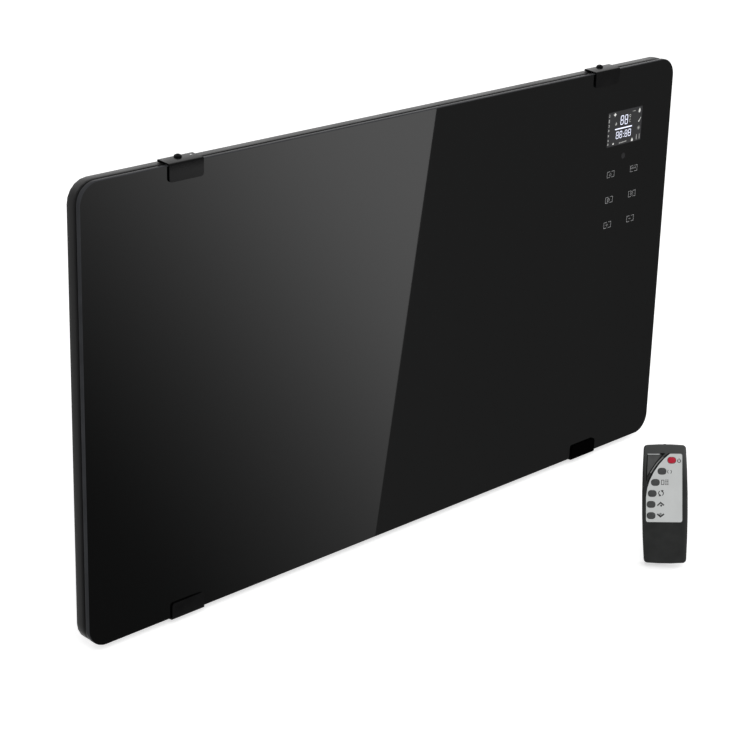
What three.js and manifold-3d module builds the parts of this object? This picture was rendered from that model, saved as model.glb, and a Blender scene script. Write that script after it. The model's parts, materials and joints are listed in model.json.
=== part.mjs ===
// Wall-hung glass panel heater with its handset, in millimetres, +Z up.
// The origin is the centre of the wall bracket's rear face, and the glass faces -Y.
import * as THREE from 'three';
import { mergeVertices } from 'three/addons/utils/BufferGeometryUtils.js';
import Module from 'manifold-3d';

const wasm = await Module();
wasm.setup();

// Driving dimensions of the heater
const panelWidth = 806;
const panelHeight = 434;
const panelCornerRadius = 21;
const glassThickness = 5;
const sealGap = 2.5;
const trayDepth = 11;
const coverDepth = 50;
const wallStandOff = 18;
const coverSideInset = 62;
const coverEndInset = 30;

// Driving dimensions of the handset
const handsetWidth = 45.4;
const handsetHeight = 119;
const handsetThickness = 20;
const handsetPlace = { x: 138.8, y: -319.1, z: -220.5 };
const handsetDegrees = { lean: -23.7, roll: -4.7, turn: -54.2 };

// Gap between pieces that touch, running gap of moving pieces, and how far a cutter overruns
const seat = 0.3;
const runningGap = 0.35;
const overrun = 2;

// Numbers of facets
const cornerSteps = 5;
const bendSteps = 3;
const roundSides = 12;
const smallSides = 8;
const arcSteps = 2;

const weldDistance = 1e-4;

// Front to back stack, each plane given by its y
const coverBackY = -wallStandOff;
const coverRimY = coverBackY - coverDepth;
const trayRearY = coverRimY - seat;
const trayFrontY = trayRearY - trayDepth;
const glassRearY = trayFrontY - sealGap;
const glassFrontY = glassRearY - glassThickness;

const glass = { edgeChamfer: 0.9 };
const tray = { sheet: 1, bendRadius: 2.5, lipWidth: 14, lipBendRadius: 1.2 };
const gasket = { inset: 3, width: 12 };
const cover = { sheet: 1, rimInset: 4, boxRadius: 24, rearFillet: 8, rimFillet: 1.5 };
const slot = { width: 5, length: 27, pitch: 20, fieldInset: 56 };
const rearSlot = { length: 46, height: 3.2, pitch: 9, count: 7, drop: 96 };
const rimScrew = { inset: 11, pitchShare: 0.62, holeRadius: 2.05 };

const clip = {
  inset: 115.2,
  width: 38.9,
  sheet: 1,
  padThickness: 0.2,
  flapDrop: 15,
  flapCornerRadius: 3,
  frontBendRadius: 1,
  frontRise: 1.7,
  rearRise: 3,
  rearReach: 15,
  legLength: 4.6,
  hairpinShare: 0.5,
};
const screwRimShare = 0.33;
const clipScrew = { reach: 10.4, headRadius: 3.7, headHeight: 2.2, shankRadius: 1.5, shankLength: 8 };

const control = { inset: 75.5, displayWidth: 57.4, displayHeight: 37, displayDrop: 65.9 };
const receiver = { drop: 98.2, radius: 2.4, bodyWidth: 7, bodyHeight: 8.5 };
const touchKey = {
  columnPitch: 39.6,
  rowPitch: 28.3,
  firstRowDrop: 115.3,
  rows: 3,
  padRadius: 5.5,
  padNeck: 3.4,
  sheet: 0.8,
};
const windowMargin = 1.5;
const touchBoard = { halfWidth: 37, endMargin: 14, thickness: 1.6 };
const carrier = { floor: 1.2, wall: 1.6, lipDepth: 3.2 };

const hook = { spread: 300, height: 172, width: 16, windowMargin: 3.4, rise: 10, lift: 11 };
const upright = { sheet: 1.5, webWidth: 40, footWidth: 15, length: 224, bendRadius: 1.5 };
const strap = { height: 44 };
const wallHole = { radius: 3, endInset: 22 };

const element = {
  pitch: 144,
  hubRadius: 7,
  armLength: 33,
  reflectorGap: 23,
  armThickness: 2,
  armLeanDegrees: 33,
  ribHeight: 2.6,
  ribThickness: 1.3,
  ribCount: 4,
  ribStart: 12,
};
const rod = { radius: 4, overhang: 13, pinRadius: 1.6, pinLength: 5 };
const insulator = { thickness: 4, halfWidth: 10, endMargin: 5, neckRadius: 6.4, neckLength: 11 };
const elementBracket = {
  sheet: 1.2,
  footWidth: 14,
  halfHeight: 118,
  depth: 53,
  leftInset: 34,
  bendRadius: 1.2,
};
const reflector = { sheet: 0.6, standOff: 8, lip: 14, lipRadius: 2, endInset: 5 };
const partition = {
  sheet: 0.8,
  footWidth: 12,
  depth: 56,
  bendRadius: 0.8,
  endGap: 8,
  wireHoleRadius: 6,
  boardGap: 16,
  bracketGap: 20,
};
const cutout = {
  radius: 8.4,
  height: 8,
  flangeWidth: 32,
  flangeHeight: 11,
  flangeThickness: 1,
  tabLength: 8,
  tabWidth: 6.3,
  tabThickness: 0.8,
};
const sensor = { radius: 2.4, length: 18, drop: 26 };

const powerBoard = { width: 88, height: 150, thickness: 1.6, standOff: 7, wallGap: 15, middleZ: 8, inset: 7 };
const standoff = {
  radius: 3.2,
  neckRadius: 1.5,
  headRadius: 2.6,
  headHeight: 1.8,
  frameWidth: 12,
  frameThickness: 1.6,
};
const relay = { width: 20, height: 15.6, depth: 19, pitch: 24, count: 2 };
const transformer = { width: 42, height: 36, depth: 28, coreInset: 6, bobbinInset: 5 };
const terminalBlock = {
  width: 46,
  height: 20,
  depth: 17,
  ways: 3,
  wellRadius: 3.2,
  wellDepth: 6,
  endGap: 24,
};
const lead = { radius: 1.4, mainsRadius: 2.4, sides: 8, steps: 10, bow: 8, landShare: 0.36 };
const ribbon = { width: 16, thickness: 0.8, drop: 20, bendRadius: 4, endInset: 8, straight: 12, clearance: 4 };

const gland = {
  inset: 54,
  boreRadius: 4.4,
  neckRadius: 7.5,
  flangeRadius: 11,
  flangeThickness: 3,
  tailLength: 9,
  tailRadius: 7,
  barbRadius: 8.8,
  barbLength: 4,
};
const rocker = {
  drop: 287,
  halfLength: 8.2,
  halfWidth: 5.2,
  pivotDepth: 4.6,
  tiltDegrees: 11,
  edgeRise: 1.1,
  underDepth: 3.4,
  frameWall: 1.4,
  flangeMargin: 1.6,
  flangeThickness: 1.8,
  bodyDepth: 15,
};

const shell = {
  cornerRadius: 3.2,
  sideBulge: 1.8,
  endBulge: 1,
  wall: 1.5,
  edgeRadius: 2.6,
  splitDepth: 9,
  cornerSteps: 3,
  sideSteps: 5,
  endSteps: 3,
};
// The label's curved corner runs from cutTop to cutSide, led by two handles [x, z]
const label = {
  left: -18.6,
  right: 17.2,
  bottom: 41.2,
  top: 109.4,
  cornerRadius: 2,
  thickness: 0.5,
  cutTop: 5.1,
  cutSide: 66,
  handles: [[-6.1, 101.3], [-18.1, 83.2]],
  cutSteps: 6,
};
// The bare three-cornered recess beside the label
const facet = { left: -17.8, right: 0, bottom: 82, top: 109.2, depth: 0.4, handle: [-12.4, 98] };
const handsetKey = {
  halfWidth: 4,
  halfHeight: 2.95,
  cornerRadius: 2.7,
  cornerSteps: 3,
  proud: 1.1,
  crown: 0.5,
  flange: 1.1,
  flangeThickness: 0.7,
  travel: 0.8,
};
// Each key's name with its x and z on the handset's face
const keyPlaces = [
  ['power', 6.8, 102.9],
  ['timer', -2.8, 91.9],
  ['level', -9.4, 80.7],
  ['mode', -12.5, 69.7],
  ['up', -13.6, 58.8],
  ['down', -13.6, 47.6],
];
const keyMat = { thickness: 0.8, left: -18.4, right: 18.4, bottom: 40, top: 109 };
const handsetBoard = { thickness: 1, sideGap: 1.2, endGap: 2 };
const battery = { radius: 5.25, length: 43.2, capRadius: 1.9, capHeight: 1, foot: 14, floor: 1.2 };
const contact = { thickness: 0.5, width: 8.4, depth: 8 };
const batteryDoor = { margin: 1.3, thickness: 1.5, sideRoom: 1, wall: 1.2 };
const doorGrip = { count: 5, pitch: 2.4, width: 1.1, depth: 0.5, length: 16, drop: 6 };
const lamp = {
  radius: 2.4,
  proud: 0.3,
  flangeRadius: 2.9,
  flangeThickness: 1,
  tailLength: 5,
  splitGap: 3.6,
};

// Mesh and boolean helpers

function quarterTurns(turns) {
  return turns * Math.PI / 2;
}

function radians(degrees) {
  return THREE.MathUtils.degToRad(degrees);
}

function positionsOnly(geometry) {
  const bare = geometry.clone();
  bare.deleteAttribute('normal');
  bare.deleteAttribute('uv');
  bare.clearGroups();
  return mergeVertices(bare, weldDistance);
}

function solid(geometry) {
  const merged = positionsOnly(geometry);
  return new wasm.Manifold(new wasm.Mesh({
    numProp: 3,
    vertProperties: new Float32Array(merged.attributes.position.array),
    triVerts: new Uint32Array(merged.index.array),
  }));
}

function fromSolid(manifold) {
  const mesh = manifold.getMesh();
  const geometry = new THREE.BufferGeometry();
  geometry.setAttribute('position', new THREE.BufferAttribute(new Float32Array(mesh.vertProperties), 3));
  geometry.setIndex(new THREE.BufferAttribute(new Uint32Array(mesh.triVerts), 1));
  return geometry;
}

function cut(base, cutters) {
  let result = solid(base);
  for (const cutter of cutters) result = result.subtract(solid(cutter));
  return fromSolid(result);
}

function join(pieces) {
  let result = solid(pieces[0]);
  for (const piece of pieces.slice(1)) result = result.add(solid(piece));
  return fromSolid(result);
}

function common(first, second) {
  return fromSolid(solid(first).intersect(solid(second)));
}

function block(low, high) {
  const size = high.map((value, axis) => value - low[axis]);
  const middle = high.map((value, axis) => (value + low[axis]) / 2);
  return new THREE.BoxGeometry(...size).translate(...middle);
}

// A cylinder along an axis, from its start point
function bar(axis, start, length, radius, sides = roundSides) {
  const geometry = new THREE.CylinderGeometry(radius, radius, length, sides);
  geometry.translate(0, length / 2, 0);
  if (axis === 'x') geometry.rotateZ(-quarterTurns(1));
  if (axis === 'z') geometry.rotateX(quarterTurns(1));
  return geometry.translate(...start);
}

// A lathe about an axis; the profile's points are [radius, distance along the axis]
function turned(axis, start, profile, sides = roundSides) {
  const geometry = new THREE.LatheGeometry(profile.map(([r, a]) => new THREE.Vector2(r, a)), sides);
  if (axis === 'x') geometry.rotateZ(-quarterTurns(1));
  if (axis === 'z') geometry.rotateX(quarterTurns(1));
  return facingOut(geometry.translate(...start));
}

// A shape drawn in x and z, given a thickness from its front plane rearwards
function slab(shape, frontY, thickness, curveSegments = arcSteps) {
  const geometry = new THREE.ExtrudeGeometry(shape, { depth: thickness, bevelEnabled: false, curveSegments });
  return geometry.rotateX(quarterTurns(1)).translate(0, frontY + thickness, 0);
}

// A section drawn in y and z, run along x from its left end
function runAlongX(shape, leftX, length, curveSegments = cornerSteps) {
  const geometry = new THREE.ExtrudeGeometry(shape, { depth: length, bevelEnabled: false, curveSegments });
  const axes = new THREE.Matrix4().makeBasis(
    new THREE.Vector3(0, 1, 0), new THREE.Vector3(0, 0, 1), new THREE.Vector3(1, 0, 0));
  return geometry.applyMatrix4(axes).translate(leftX, 0, 0);
}

// A section drawn in x and y, run up along z from its foot
function runAlongZ(shape, footZ, length, curveSegments = cornerSteps) {
  const geometry = new THREE.ExtrudeGeometry(shape, { depth: length, bevelEnabled: false, curveSegments });
  return geometry.translate(0, 0, footZ);
}

function roundedRectangle(left, right, bottom, top, radius) {
  const shape = new THREE.Shape();
  shape.moveTo(left + radius, bottom);
  shape.absarc(right - radius, bottom + radius, radius, -quarterTurns(1), 0);
  shape.absarc(right - radius, top - radius, radius, 0, quarterTurns(1));
  shape.absarc(left + radius, top - radius, radius, quarterTurns(1), quarterTurns(2));
  shape.absarc(left + radius, bottom + radius, radius, quarterTurns(2), quarterTurns(3));
  return shape;
}

function rectangle(left, right, bottom, top) {
  return new THREE.Shape([[left, bottom], [right, bottom], [right, top], [left, top]]
    .map(([a, b]) => new THREE.Vector2(a, b)));
}

function oval(x, z, halfWidth, halfHeight) {
  return new THREE.Shape().absellipse(x, z, halfWidth, halfHeight, 0, quarterTurns(4));
}

function signedVolume(geometry) {
  const p = geometry.attributes.position;
  const index = geometry.index;
  const [a, b, c] = [new THREE.Vector3(), new THREE.Vector3(), new THREE.Vector3()];
  let volume = 0;
  for (let i = 0; i < index.count; i += 3) {
    a.fromBufferAttribute(p, index.getX(i));
    b.fromBufferAttribute(p, index.getX(i + 1));
    c.fromBufferAttribute(p, index.getX(i + 2));
    volume += a.dot(b.cross(c));
  }
  return volume;
}

// Turns the faces round when they point inwards
function facingOut(geometry) {
  const merged = positionsOnly(geometry);
  if (signedVolume(merged) > 0) return merged;
  const order = Array.from(merged.index.array);
  for (let i = 0; i < order.length; i += 3) [order[i], order[i + 1]] = [order[i + 1], order[i]];
  merged.setIndex(order);
  return merged;
}

// Skins a row of equal rings: round again to the first one, or closed by a flat cap at each end
function loft(rings, endless = false) {
  const count = rings[0].length;
  const geometry = new THREE.BufferGeometry().setFromPoints(rings.flat());
  const index = [];
  const spans = endless ? rings.length : rings.length - 1;
  for (let i = 0; i < spans; i += 1) {
    const a = i * count;
    const b = ((i + 1) % rings.length) * count;
    for (let k = 0; k < count; k += 1) {
      const m = (k + 1) % count;
      index.push(a + k, a + m, b + m, a + k, b + m, b + k);
    }
  }
  const end = (rings.length - 1) * count;
  for (let k = 1; !endless && k < count - 1; k += 1) index.push(0, k + 1, k, end, end + k, end + k + 1);
  geometry.setIndex(index);
  return facingOut(geometry);
}

// A rounded rectangle in x and z, drawn in from its outline and set at a depth
function ringAt(outline, inset, y, steps = cornerSteps) {
  const radius = outline.radius - inset;
  const points = [];
  [[1, 1], [-1, 1], [-1, -1], [1, -1]].forEach(([sideX, sideZ], corner) => {
    for (let k = 0; k <= steps; k += 1) {
      const angle = quarterTurns(corner + k / steps);
      points.push(new THREE.Vector3(
        sideX * (outline.halfWidth - outline.radius) + radius * Math.cos(angle),
        y,
        sideZ * (outline.halfHeight - outline.radius) + radius * Math.sin(angle)));
    }
  });
  return points;
}

// [inset, y] along a quarter round, for the edge of a pressed or moulded form
function quarterRound(insetCentre, yCentre, radius, startTurns, endTurns) {
  return Array.from({ length: bendSteps + 1 }, (_, k) => {
    const angle = quarterTurns(startTurns + (endTurns - startTurns) * k / bendSteps);
    return [insetCentre + radius * Math.cos(angle), yCentre + radius * Math.sin(angle)];
  });
}

// The outline of a folded sheet, from its middle line [a, b, bend radius of the middle line]
function foldedSheet(stations, thickness) {
  const path = [];
  stations.forEach(([a, b, radius], i) => {
    const here = new THREE.Vector2(a, b);
    if (!radius) {
      path.push({ at: here });
      return;
    }
    const before = new THREE.Vector2(...stations[i - 1]).sub(here).normalize();
    const after = new THREE.Vector2(...stations[i + 1]).sub(here).normalize();
    const half = Math.acos(THREE.MathUtils.clamp(before.dot(after), -1, 1)) / 2;
    const middle = before.clone().add(after).normalize();
    const centre = here.clone().addScaledVector(middle, radius / Math.sin(half));
    const first = here.clone().addScaledVector(before, radius / Math.tan(half)).sub(centre);
    const turn = (Math.PI - 2 * half) * Math.sign(before.cross(after)) * -1;
    for (let k = 0; k <= bendSteps; k += 1) {
      const arm = first.clone().rotateAround(new THREE.Vector2(), turn * k / bendSteps);
      path.push({ at: centre.clone().add(arm) });
    }
  });
  path.forEach((point, i) => {
    const from = path[Math.max(i - 1, 0)].at;
    const to = path[Math.min(i + 1, path.length - 1)].at;
    const along = to.clone().sub(from).normalize();
    point.normal = new THREE.Vector2(-along.y, along.x);
  });
  const left = path.map(({ at, normal }) => at.clone().addScaledVector(normal, thickness / 2));
  const right = path.map(({ at, normal }) => at.clone().addScaledVector(normal, -thickness / 2));
  const outline = [...left, ...right.reverse()];
  if (THREE.ShapeUtils.area(outline) < 0) outline.reverse();
  return new THREE.Shape(outline);
}

// Finishes, one for each material of the product
const finishes = {
  blackGlass: { color: 0x101112, roughness: 0.08, metalness: 0 },
  blackSteel: { color: 0x242628, roughness: 0.5, metalness: 0.1 },
  clipSteel: { color: 0x1c1d1e, roughness: 0.45, metalness: 0.2 },
  zincSteel: { color: 0x9a9c9e, roughness: 0.4, metalness: 0.9 },
  aluminium: { color: 0xb8babc, roughness: 0.35, metalness: 1 },
  blackPlastic: { color: 0x151617, roughness: 0.45, metalness: 0 },
  blackRubber: { color: 0x0d0d0d, roughness: 0.9, metalness: 0 },
  ceramic: { color: 0xe6e1d6, roughness: 0.5, metalness: 0 },
  board: { color: 0x1d5a34, roughness: 0.6, metalness: 0 },
  greyPlastic: { color: 0x8d9093, roughness: 0.5, metalness: 0 },
  redPlastic: { color: 0xb3211c, roughness: 0.5, metalness: 0 },
  displayGrey: { color: 0x3a3c3e, roughness: 0.3, metalness: 0 },
  keyGrey: { color: 0x4a4c4f, roughness: 0.5, metalness: 0 },
  wire: { color: 0x8c1c1c, roughness: 0.6, metalness: 0 },
};

function piece(name, geometry, finish, place = {}) {
  const mesh = new THREE.Mesh(geometry, new THREE.MeshStandardMaterial(finishes[finish]));
  mesh.name = name;
  mesh.position.set(place.x ?? 0, place.y ?? 0, place.z ?? 0);
  mesh.rotation.y = place.turnY ?? 0;
  return mesh;
}

// Glass, seal and steel tray

const panelOutline = { halfWidth: panelWidth / 2, halfHeight: panelHeight / 2, radius: panelCornerRadius };

function glassPanel() {
  const c = glass.edgeChamfer;
  const rings = [[c, glassRearY], [0, glassRearY - c], [0, glassFrontY + c], [c, glassFrontY]];
  return loft(rings.map(([inset, y]) => ringAt(panelOutline, inset, y)));
}

function sealFrame() {
  const rear = trayFrontY - seat;
  const front = glassRearY + seat;
  const inner = gasket.inset + gasket.width;
  const rings = [[gasket.inset, rear], [gasket.inset, front], [inner, front], [inner, rear]];
  return loft(rings.map(([inset, y]) => ringAt(panelOutline, inset, y)), true);
}

const controlX = panelWidth / 2 - control.inset;
const displayZ = panelHeight / 2 - control.displayDrop;
const receiverZ = panelHeight / 2 - receiver.drop;
const firstKeyZ = panelHeight / 2 - touchKey.firstRowDrop;
const lastKeyZ = firstKeyZ - (touchKey.rows - 1) * touchKey.rowPitch;
const displayTopZ = displayZ + control.displayHeight / 2;

// The three openings behind the glass: display, receiver and touch keys, grown by a margin
function controlWindows(margin) {
  const halfDisplay = control.displayWidth / 2 + margin;
  const halfKeys = touchKey.columnPitch / 2 + touchKey.padRadius + margin;
  const keyReach = touchKey.padRadius + margin;
  return [
    rectangle(controlX - halfDisplay, controlX + halfDisplay,
      displayZ - control.displayHeight / 2 - margin, displayTopZ + margin),
    rectangle(controlX - receiver.bodyWidth / 2 - margin, controlX + receiver.bodyWidth / 2 + margin,
      receiverZ - receiver.bodyHeight / 2 - margin, receiverZ + receiver.bodyHeight / 2 + margin),
    rectangle(controlX - halfKeys, controlX + halfKeys, lastKeyZ - keyReach, firstKeyZ + keyReach),
  ];
}

const clipX = panelWidth / 2 - clip.inset;
const clipCorners = [
  ['upper_left', -1, 1],
  ['upper_right', 1, 1],
  ['lower_left', -1, -1],
  ['lower_right', 1, -1],
];
const clipScrewY = glassFrontY + clipScrew.reach;

// Places of the screws that hold the rear cover's rim to the tray's lip
function rimScrewPlaces() {
  const x = panelWidth / 2 - rimScrew.inset;
  const z = panelHeight / 2 - rimScrew.inset;
  const along = x * rimScrew.pitchShare;
  const up = z * rimScrew.pitchShare;
  return [z, -z].flatMap((edge) => [[-along, edge], [0, edge], [along, edge]])
    .concat([x, -x].flatMap((edge) => [[edge, up], [edge, -up]]));
}

function steelTray() {
  const { sheet, bendRadius, lipWidth, lipBendRadius } = tray;
  const profile = [
    ...quarterRound(bendRadius, trayFrontY + bendRadius, bendRadius, 3, 2),
    ...quarterRound(lipBendRadius, trayRearY - lipBendRadius, lipBendRadius, 2, 1),
    [lipWidth, trayRearY],
    [lipWidth, trayRearY - sheet],
    [sheet, trayRearY - sheet],
    ...quarterRound(bendRadius, trayFrontY + bendRadius, bendRadius - sheet, 2, 3),
  ];
  const body = loft(profile.map(([inset, y]) => ringAt(panelOutline, inset, y)));
  const cutters = controlWindows(windowMargin).map((shape) => slab(
    shape, trayFrontY - overrun, sheet + 2 * overrun));
  const clipHole = clipScrew.shankRadius + seat;
  for (const [, sideX, sideZ] of clipCorners) {
    const start = sideZ > 0 ? panelHeight / 2 - sheet - overrun : -panelHeight / 2 - overrun;
    cutters.push(bar('z', [sideX * clipX, clipScrewY, start], sheet + 2 * overrun, clipHole, smallSides));
  }
  for (const [x, z] of rimScrewPlaces()) {
    const start = [x, trayRearY - sheet - overrun, z];
    cutters.push(bar('y', start, sheet + 2 * overrun, rimScrew.holeRadius, smallSides));
  }
  return cut(body, cutters);
}

// Clips that hold the glass at its long edges

const flapFrontY = glassFrontY - 2 * seat - clip.padThickness - clip.sheet;

// Middle line of the clip, in y and height over the panel's edge
function clipSection() {
  const flapY = flapFrontY + clip.sheet / 2;
  const rearY = glassFrontY + clip.rearReach - clip.sheet / 2;
  const legZ = seat + clip.sheet / 2;
  const hairpin = (clip.rearRise - seat - clip.sheet) * clip.hairpinShare;
  return foldedSheet([
    [flapY, -clip.flapDrop],
    [flapY, clip.frontRise - clip.sheet / 2, clip.frontBendRadius + clip.sheet / 2],
    [rearY, clip.rearRise - clip.sheet / 2, hairpin],
    [rearY, legZ, hairpin],
    [rearY - clip.legLength, legZ],
  ], clip.sheet);
}

function sheetClip() {
  const half = clip.width / 2;
  const strip = runAlongX(clipSection(), -half, clip.width);
  const height = clip.flapDrop + clip.rearRise + 2 * clip.flapCornerRadius;
  const shape = roundedRectangle(-half, half, -clip.flapDrop, height - clip.flapDrop, clip.flapCornerRadius);
  const trimmed = common(strip, slab(shape, flapFrontY - overrun, clip.rearReach + clip.sheet + 4 * overrun));
  const holeFoot = -overrun;
  const holeHeight = clip.rearRise + 2 * overrun;
  const hole = bar('z', [0, clipScrewY, holeFoot], holeHeight, clipScrew.shankRadius + seat, smallSides);
  return cut(trimmed, [hole]);
}

// A screw with a domed head on a low rim: its shank runs down from the head's foot
function domedScrew(axis, foot, sizes) {
  const { headRadius, headHeight, shankRadius, shankLength } = sizes;
  const dome = Array.from({ length: bendSteps + 1 }, (_, k) => {
    const angle = quarterTurns(k / bendSteps);
    const rise = THREE.MathUtils.lerp(screwRimShare, 1, Math.sin(angle)) * headHeight;
    return [k === bendSteps ? 0 : headRadius * Math.cos(angle), rise];
  });
  return turned(axis, foot, [
    [0, -shankLength],
    [shankRadius, -shankLength],
    [shankRadius, 0],
    [headRadius, 0],
    ...dome,
  ]);
}

function clipScrewBody() {
  return domedScrew('z', [0, clipScrewY, clip.rearRise + seat / 2], clipScrew);
}

// Rear cover: one drawn shell with a flat rim and rows of slots

const coverRim = {
  halfWidth: panelWidth / 2 - cover.rimInset,
  halfHeight: panelHeight / 2 - cover.rimInset,
  radius: panelCornerRadius - cover.rimInset,
};
const coverBox = {
  halfWidth: panelWidth / 2 - coverSideInset,
  halfHeight: panelHeight / 2 - coverEndInset,
  radius: cover.boxRadius,
};
const coverInnerY = coverBackY - cover.sheet;
const coverInnerX = coverBox.halfWidth - cover.sheet;
const coverInnerZ = coverBox.halfHeight - cover.sheet;
const glandX = coverBox.halfWidth - gland.inset;
const glandY = (coverBackY + coverRimY) / 2;

function coverShell() {
  const { sheet, rearFillet, rimFillet } = cover;
  const rimRearY = coverRimY + sheet;
  const outer = quarterRound(rearFillet, coverBackY - rearFillet, rearFillet, 1, 2);
  const flare = quarterRound(-rimFillet, rimRearY + rimFillet, rimFillet, 0, -1);
  const inner = quarterRound(rearFillet, coverBackY - rearFillet, rearFillet - sheet, 2, 1);
  return loft([
    ...outer.map(([inset, y]) => ringAt(coverBox, inset, y)),
    ...flare.map(([inset, y]) => ringAt(coverBox, inset, y)),
    ringAt(coverRim, 0, rimRearY),
    ringAt(coverRim, 0, coverRimY),
    ringAt(coverBox, sheet, coverRimY),
    ...inner.map(([inset, y]) => ringAt(coverBox, inset, y)),
  ]);
}

// Rows of warm air slots in the top and bottom walls
function wallSlots() {
  const span = 2 * (coverBox.halfWidth - slot.fieldInset);
  const count = Math.floor(span / slot.pitch) + 1;
  const middleY = (coverBackY + coverRimY) / 2;
  const cutters = [];
  for (let i = 0; i < count; i += 1) {
    const x = (i - (count - 1) / 2) * slot.pitch;
    if (Math.abs(x - glandX) < gland.flangeRadius + slot.pitch) continue;
    for (const side of [-1, 1]) {
      const wall = side * coverBox.halfHeight;
      const ends = [wall - side * (cover.sheet + overrun), wall + side * overrun].sort((a, b) => a - b);
      cutters.push(block([x - slot.width / 2, middleY - slot.length / 2, ends[0]],
        [x + slot.width / 2, middleY + slot.length / 2, ends[1]]));
    }
  }
  return cutters;
}

// Two ladders of slots in the back wall, behind the electronics and opposite
function backSlots() {
  const cutters = [];
  for (const side of [-1, 1]) {
    const x = side * (coverBox.halfWidth - slot.fieldInset);
    for (let i = 0; i < rearSlot.count; i += 1) {
      const z = coverBox.halfHeight - rearSlot.drop - i * rearSlot.pitch;
      cutters.push(block([x - rearSlot.length / 2, coverInnerY - overrun, z - rearSlot.height / 2],
        [x + rearSlot.length / 2, coverBackY + overrun, z + rearSlot.height / 2]));
    }
  }
  return cutters;
}

const hookPlaces = [[-1, 1], [1, 1], [-1, -1], [1, -1]]
  .map(([sideX, sideZ]) => [sideX * hook.spread / 2, sideZ * hook.height / 2]);

// Each slot drops over a hook, and is tall enough to be lifted off it
function hookSlots() {
  const height = hook.lift + upright.sheet + 3 * seat;
  return hookPlaces.map(([x, z]) => block(
    [x - hook.width / 2 - 3 * seat, coverInnerY - overrun, z + seat - height],
    [x + hook.width / 2 + 3 * seat, coverBackY + overrun, z + seat]));
}

function rearCover() {
  const holes = rimScrewPlaces().map(([x, z]) => bar(
    'y', [x, coverRimY - overrun, z], cover.sheet + 2 * overrun, rimScrew.holeRadius, smallSides));
  const bushHole = bar('z', [glandX, glandY, -coverBox.halfHeight - overrun],
    cover.sheet + 2 * overrun, gland.neckRadius + seat);
  const switchHole = block(
    [coverInnerX - overrun, rockerY - frameHalfWidth - seat, rockerZ - frameHalfLength - seat],
    [coverBox.halfWidth + overrun, rockerY + frameHalfWidth + seat, rockerZ + frameHalfLength + seat]);
  return cut(coverShell(), [...wallSlots(), ...backSlots(), ...hookSlots(), ...holes, bushHole, switchHole]);
}

// Wall bracket: two hat-section uprights with lanced hooks, joined by a flat strap

function uprightBar(x) {
  const { sheet, webWidth, footWidth, length, bendRadius } = upright;
  const radius = bendRadius + sheet / 2;
  const webY = -wallStandOff + seat + sheet / 2;
  const half = webWidth / 2 - sheet / 2;
  const section = foldedSheet([
    [x - half - footWidth, -sheet / 2],
    [x - half, -sheet / 2, radius],
    [x - half, webY, radius],
    [x + half, webY, radius],
    [x + half, -sheet / 2, radius],
    [x + half + footWidth, -sheet / 2],
  ], sheet);
  return runAlongZ(section, -length / 2, length);
}

// The hook's leg passes through the cover's slot and turns up behind its wall
function hookTongue(x, z) {
  const { sheet } = upright;
  const webY = -wallStandOff + seat + sheet;
  const tipY = coverInnerY - seat - sheet / 2;
  const section = foldedSheet([
    [webY, z - sheet / 2],
    [tipY, z - sheet / 2, sheet],
    [tipY, z + hook.rise],
  ], sheet);
  return runAlongX(section, x - hook.width / 2, hook.width);
}

function wallBracket() {
  const halfSpan = hook.spread / 2 - upright.webWidth / 2;
  const sheet = upright.sheet;
  const band = block([-halfSpan, -sheet, -strap.height / 2], [halfSpan, 0, strap.height / 2]);
  const body = join([
    ...[-1, 1].map((side) => uprightBar(side * hook.spread / 2)),
    band,
    ...hookPlaces.map(([x, z]) => hookTongue(x, z)),
  ]);
  const windows = hookPlaces.map(([x, z]) => block(
    [x - hook.width / 2 - seat, -wallStandOff - seat, z + seat],
    [x + hook.width / 2 + seat, -wallStandOff + seat + sheet + overrun, z + hook.rise + hook.windowMargin]));
  const footX = hook.spread / 2 + upright.webWidth / 2 + upright.footWidth / 2;
  const holes = [-1, 1].flatMap((sideX) => [
    [sideX * footX, upright.length / 2 - wallHole.endInset],
    [sideX * footX, wallHole.endInset - upright.length / 2],
    [sideX * halfSpan / 2, 0],
  ]);
  const bores = holes.map(([x, z]) => bar(
    'y', [x, -sheet - overrun, z], sheet + 2 * overrun, wallHole.radius, smallSides));
  return cut(body, [...windows, ...bores]);
}

// Controls behind the glass

const carrierY = trayFrontY + tray.sheet + seat;
const touchBoardY = carrierY + carrier.floor + seat;
const controlTop = displayTopZ + touchBoard.endMargin;
const controlFoot = lastKeyZ - touchKey.padRadius - touchBoard.endMargin;

function boardCarrier() {
  const halfWidth = touchBoard.halfWidth + seat + carrier.wall;
  const reach = seat + carrier.wall;
  const outline = () => rectangle(
    controlX - halfWidth, controlX + halfWidth, controlFoot - reach, controlTop + reach);
  const floor = outline();
  floor.holes = controlWindows(windowMargin);
  const wall = outline();
  wall.holes = [rectangle(controlX - touchBoard.halfWidth - seat, controlX + touchBoard.halfWidth + seat,
    controlFoot - seat, controlTop + seat)];
  return join([
    slab(floor, carrierY, carrier.floor),
    slab(wall, carrierY, carrier.floor + carrier.lipDepth),
  ]);
}

function touchCircuitBoard() {
  const { halfWidth, thickness } = touchBoard;
  const shape = rectangle(controlX - halfWidth, controlX + halfWidth, controlFoot, controlTop);
  return slab(shape, touchBoardY, thickness);
}

const behindGlassY = glassRearY + seat;
const behindGlassDepth = touchBoardY - seat - behindGlassY;

function displayModule() {
  const shape = rectangle(controlX - control.displayWidth / 2, controlX + control.displayWidth / 2,
    displayZ - control.displayHeight / 2, displayTopZ);
  return slab(shape, behindGlassY, behindGlassDepth);
}

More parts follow.
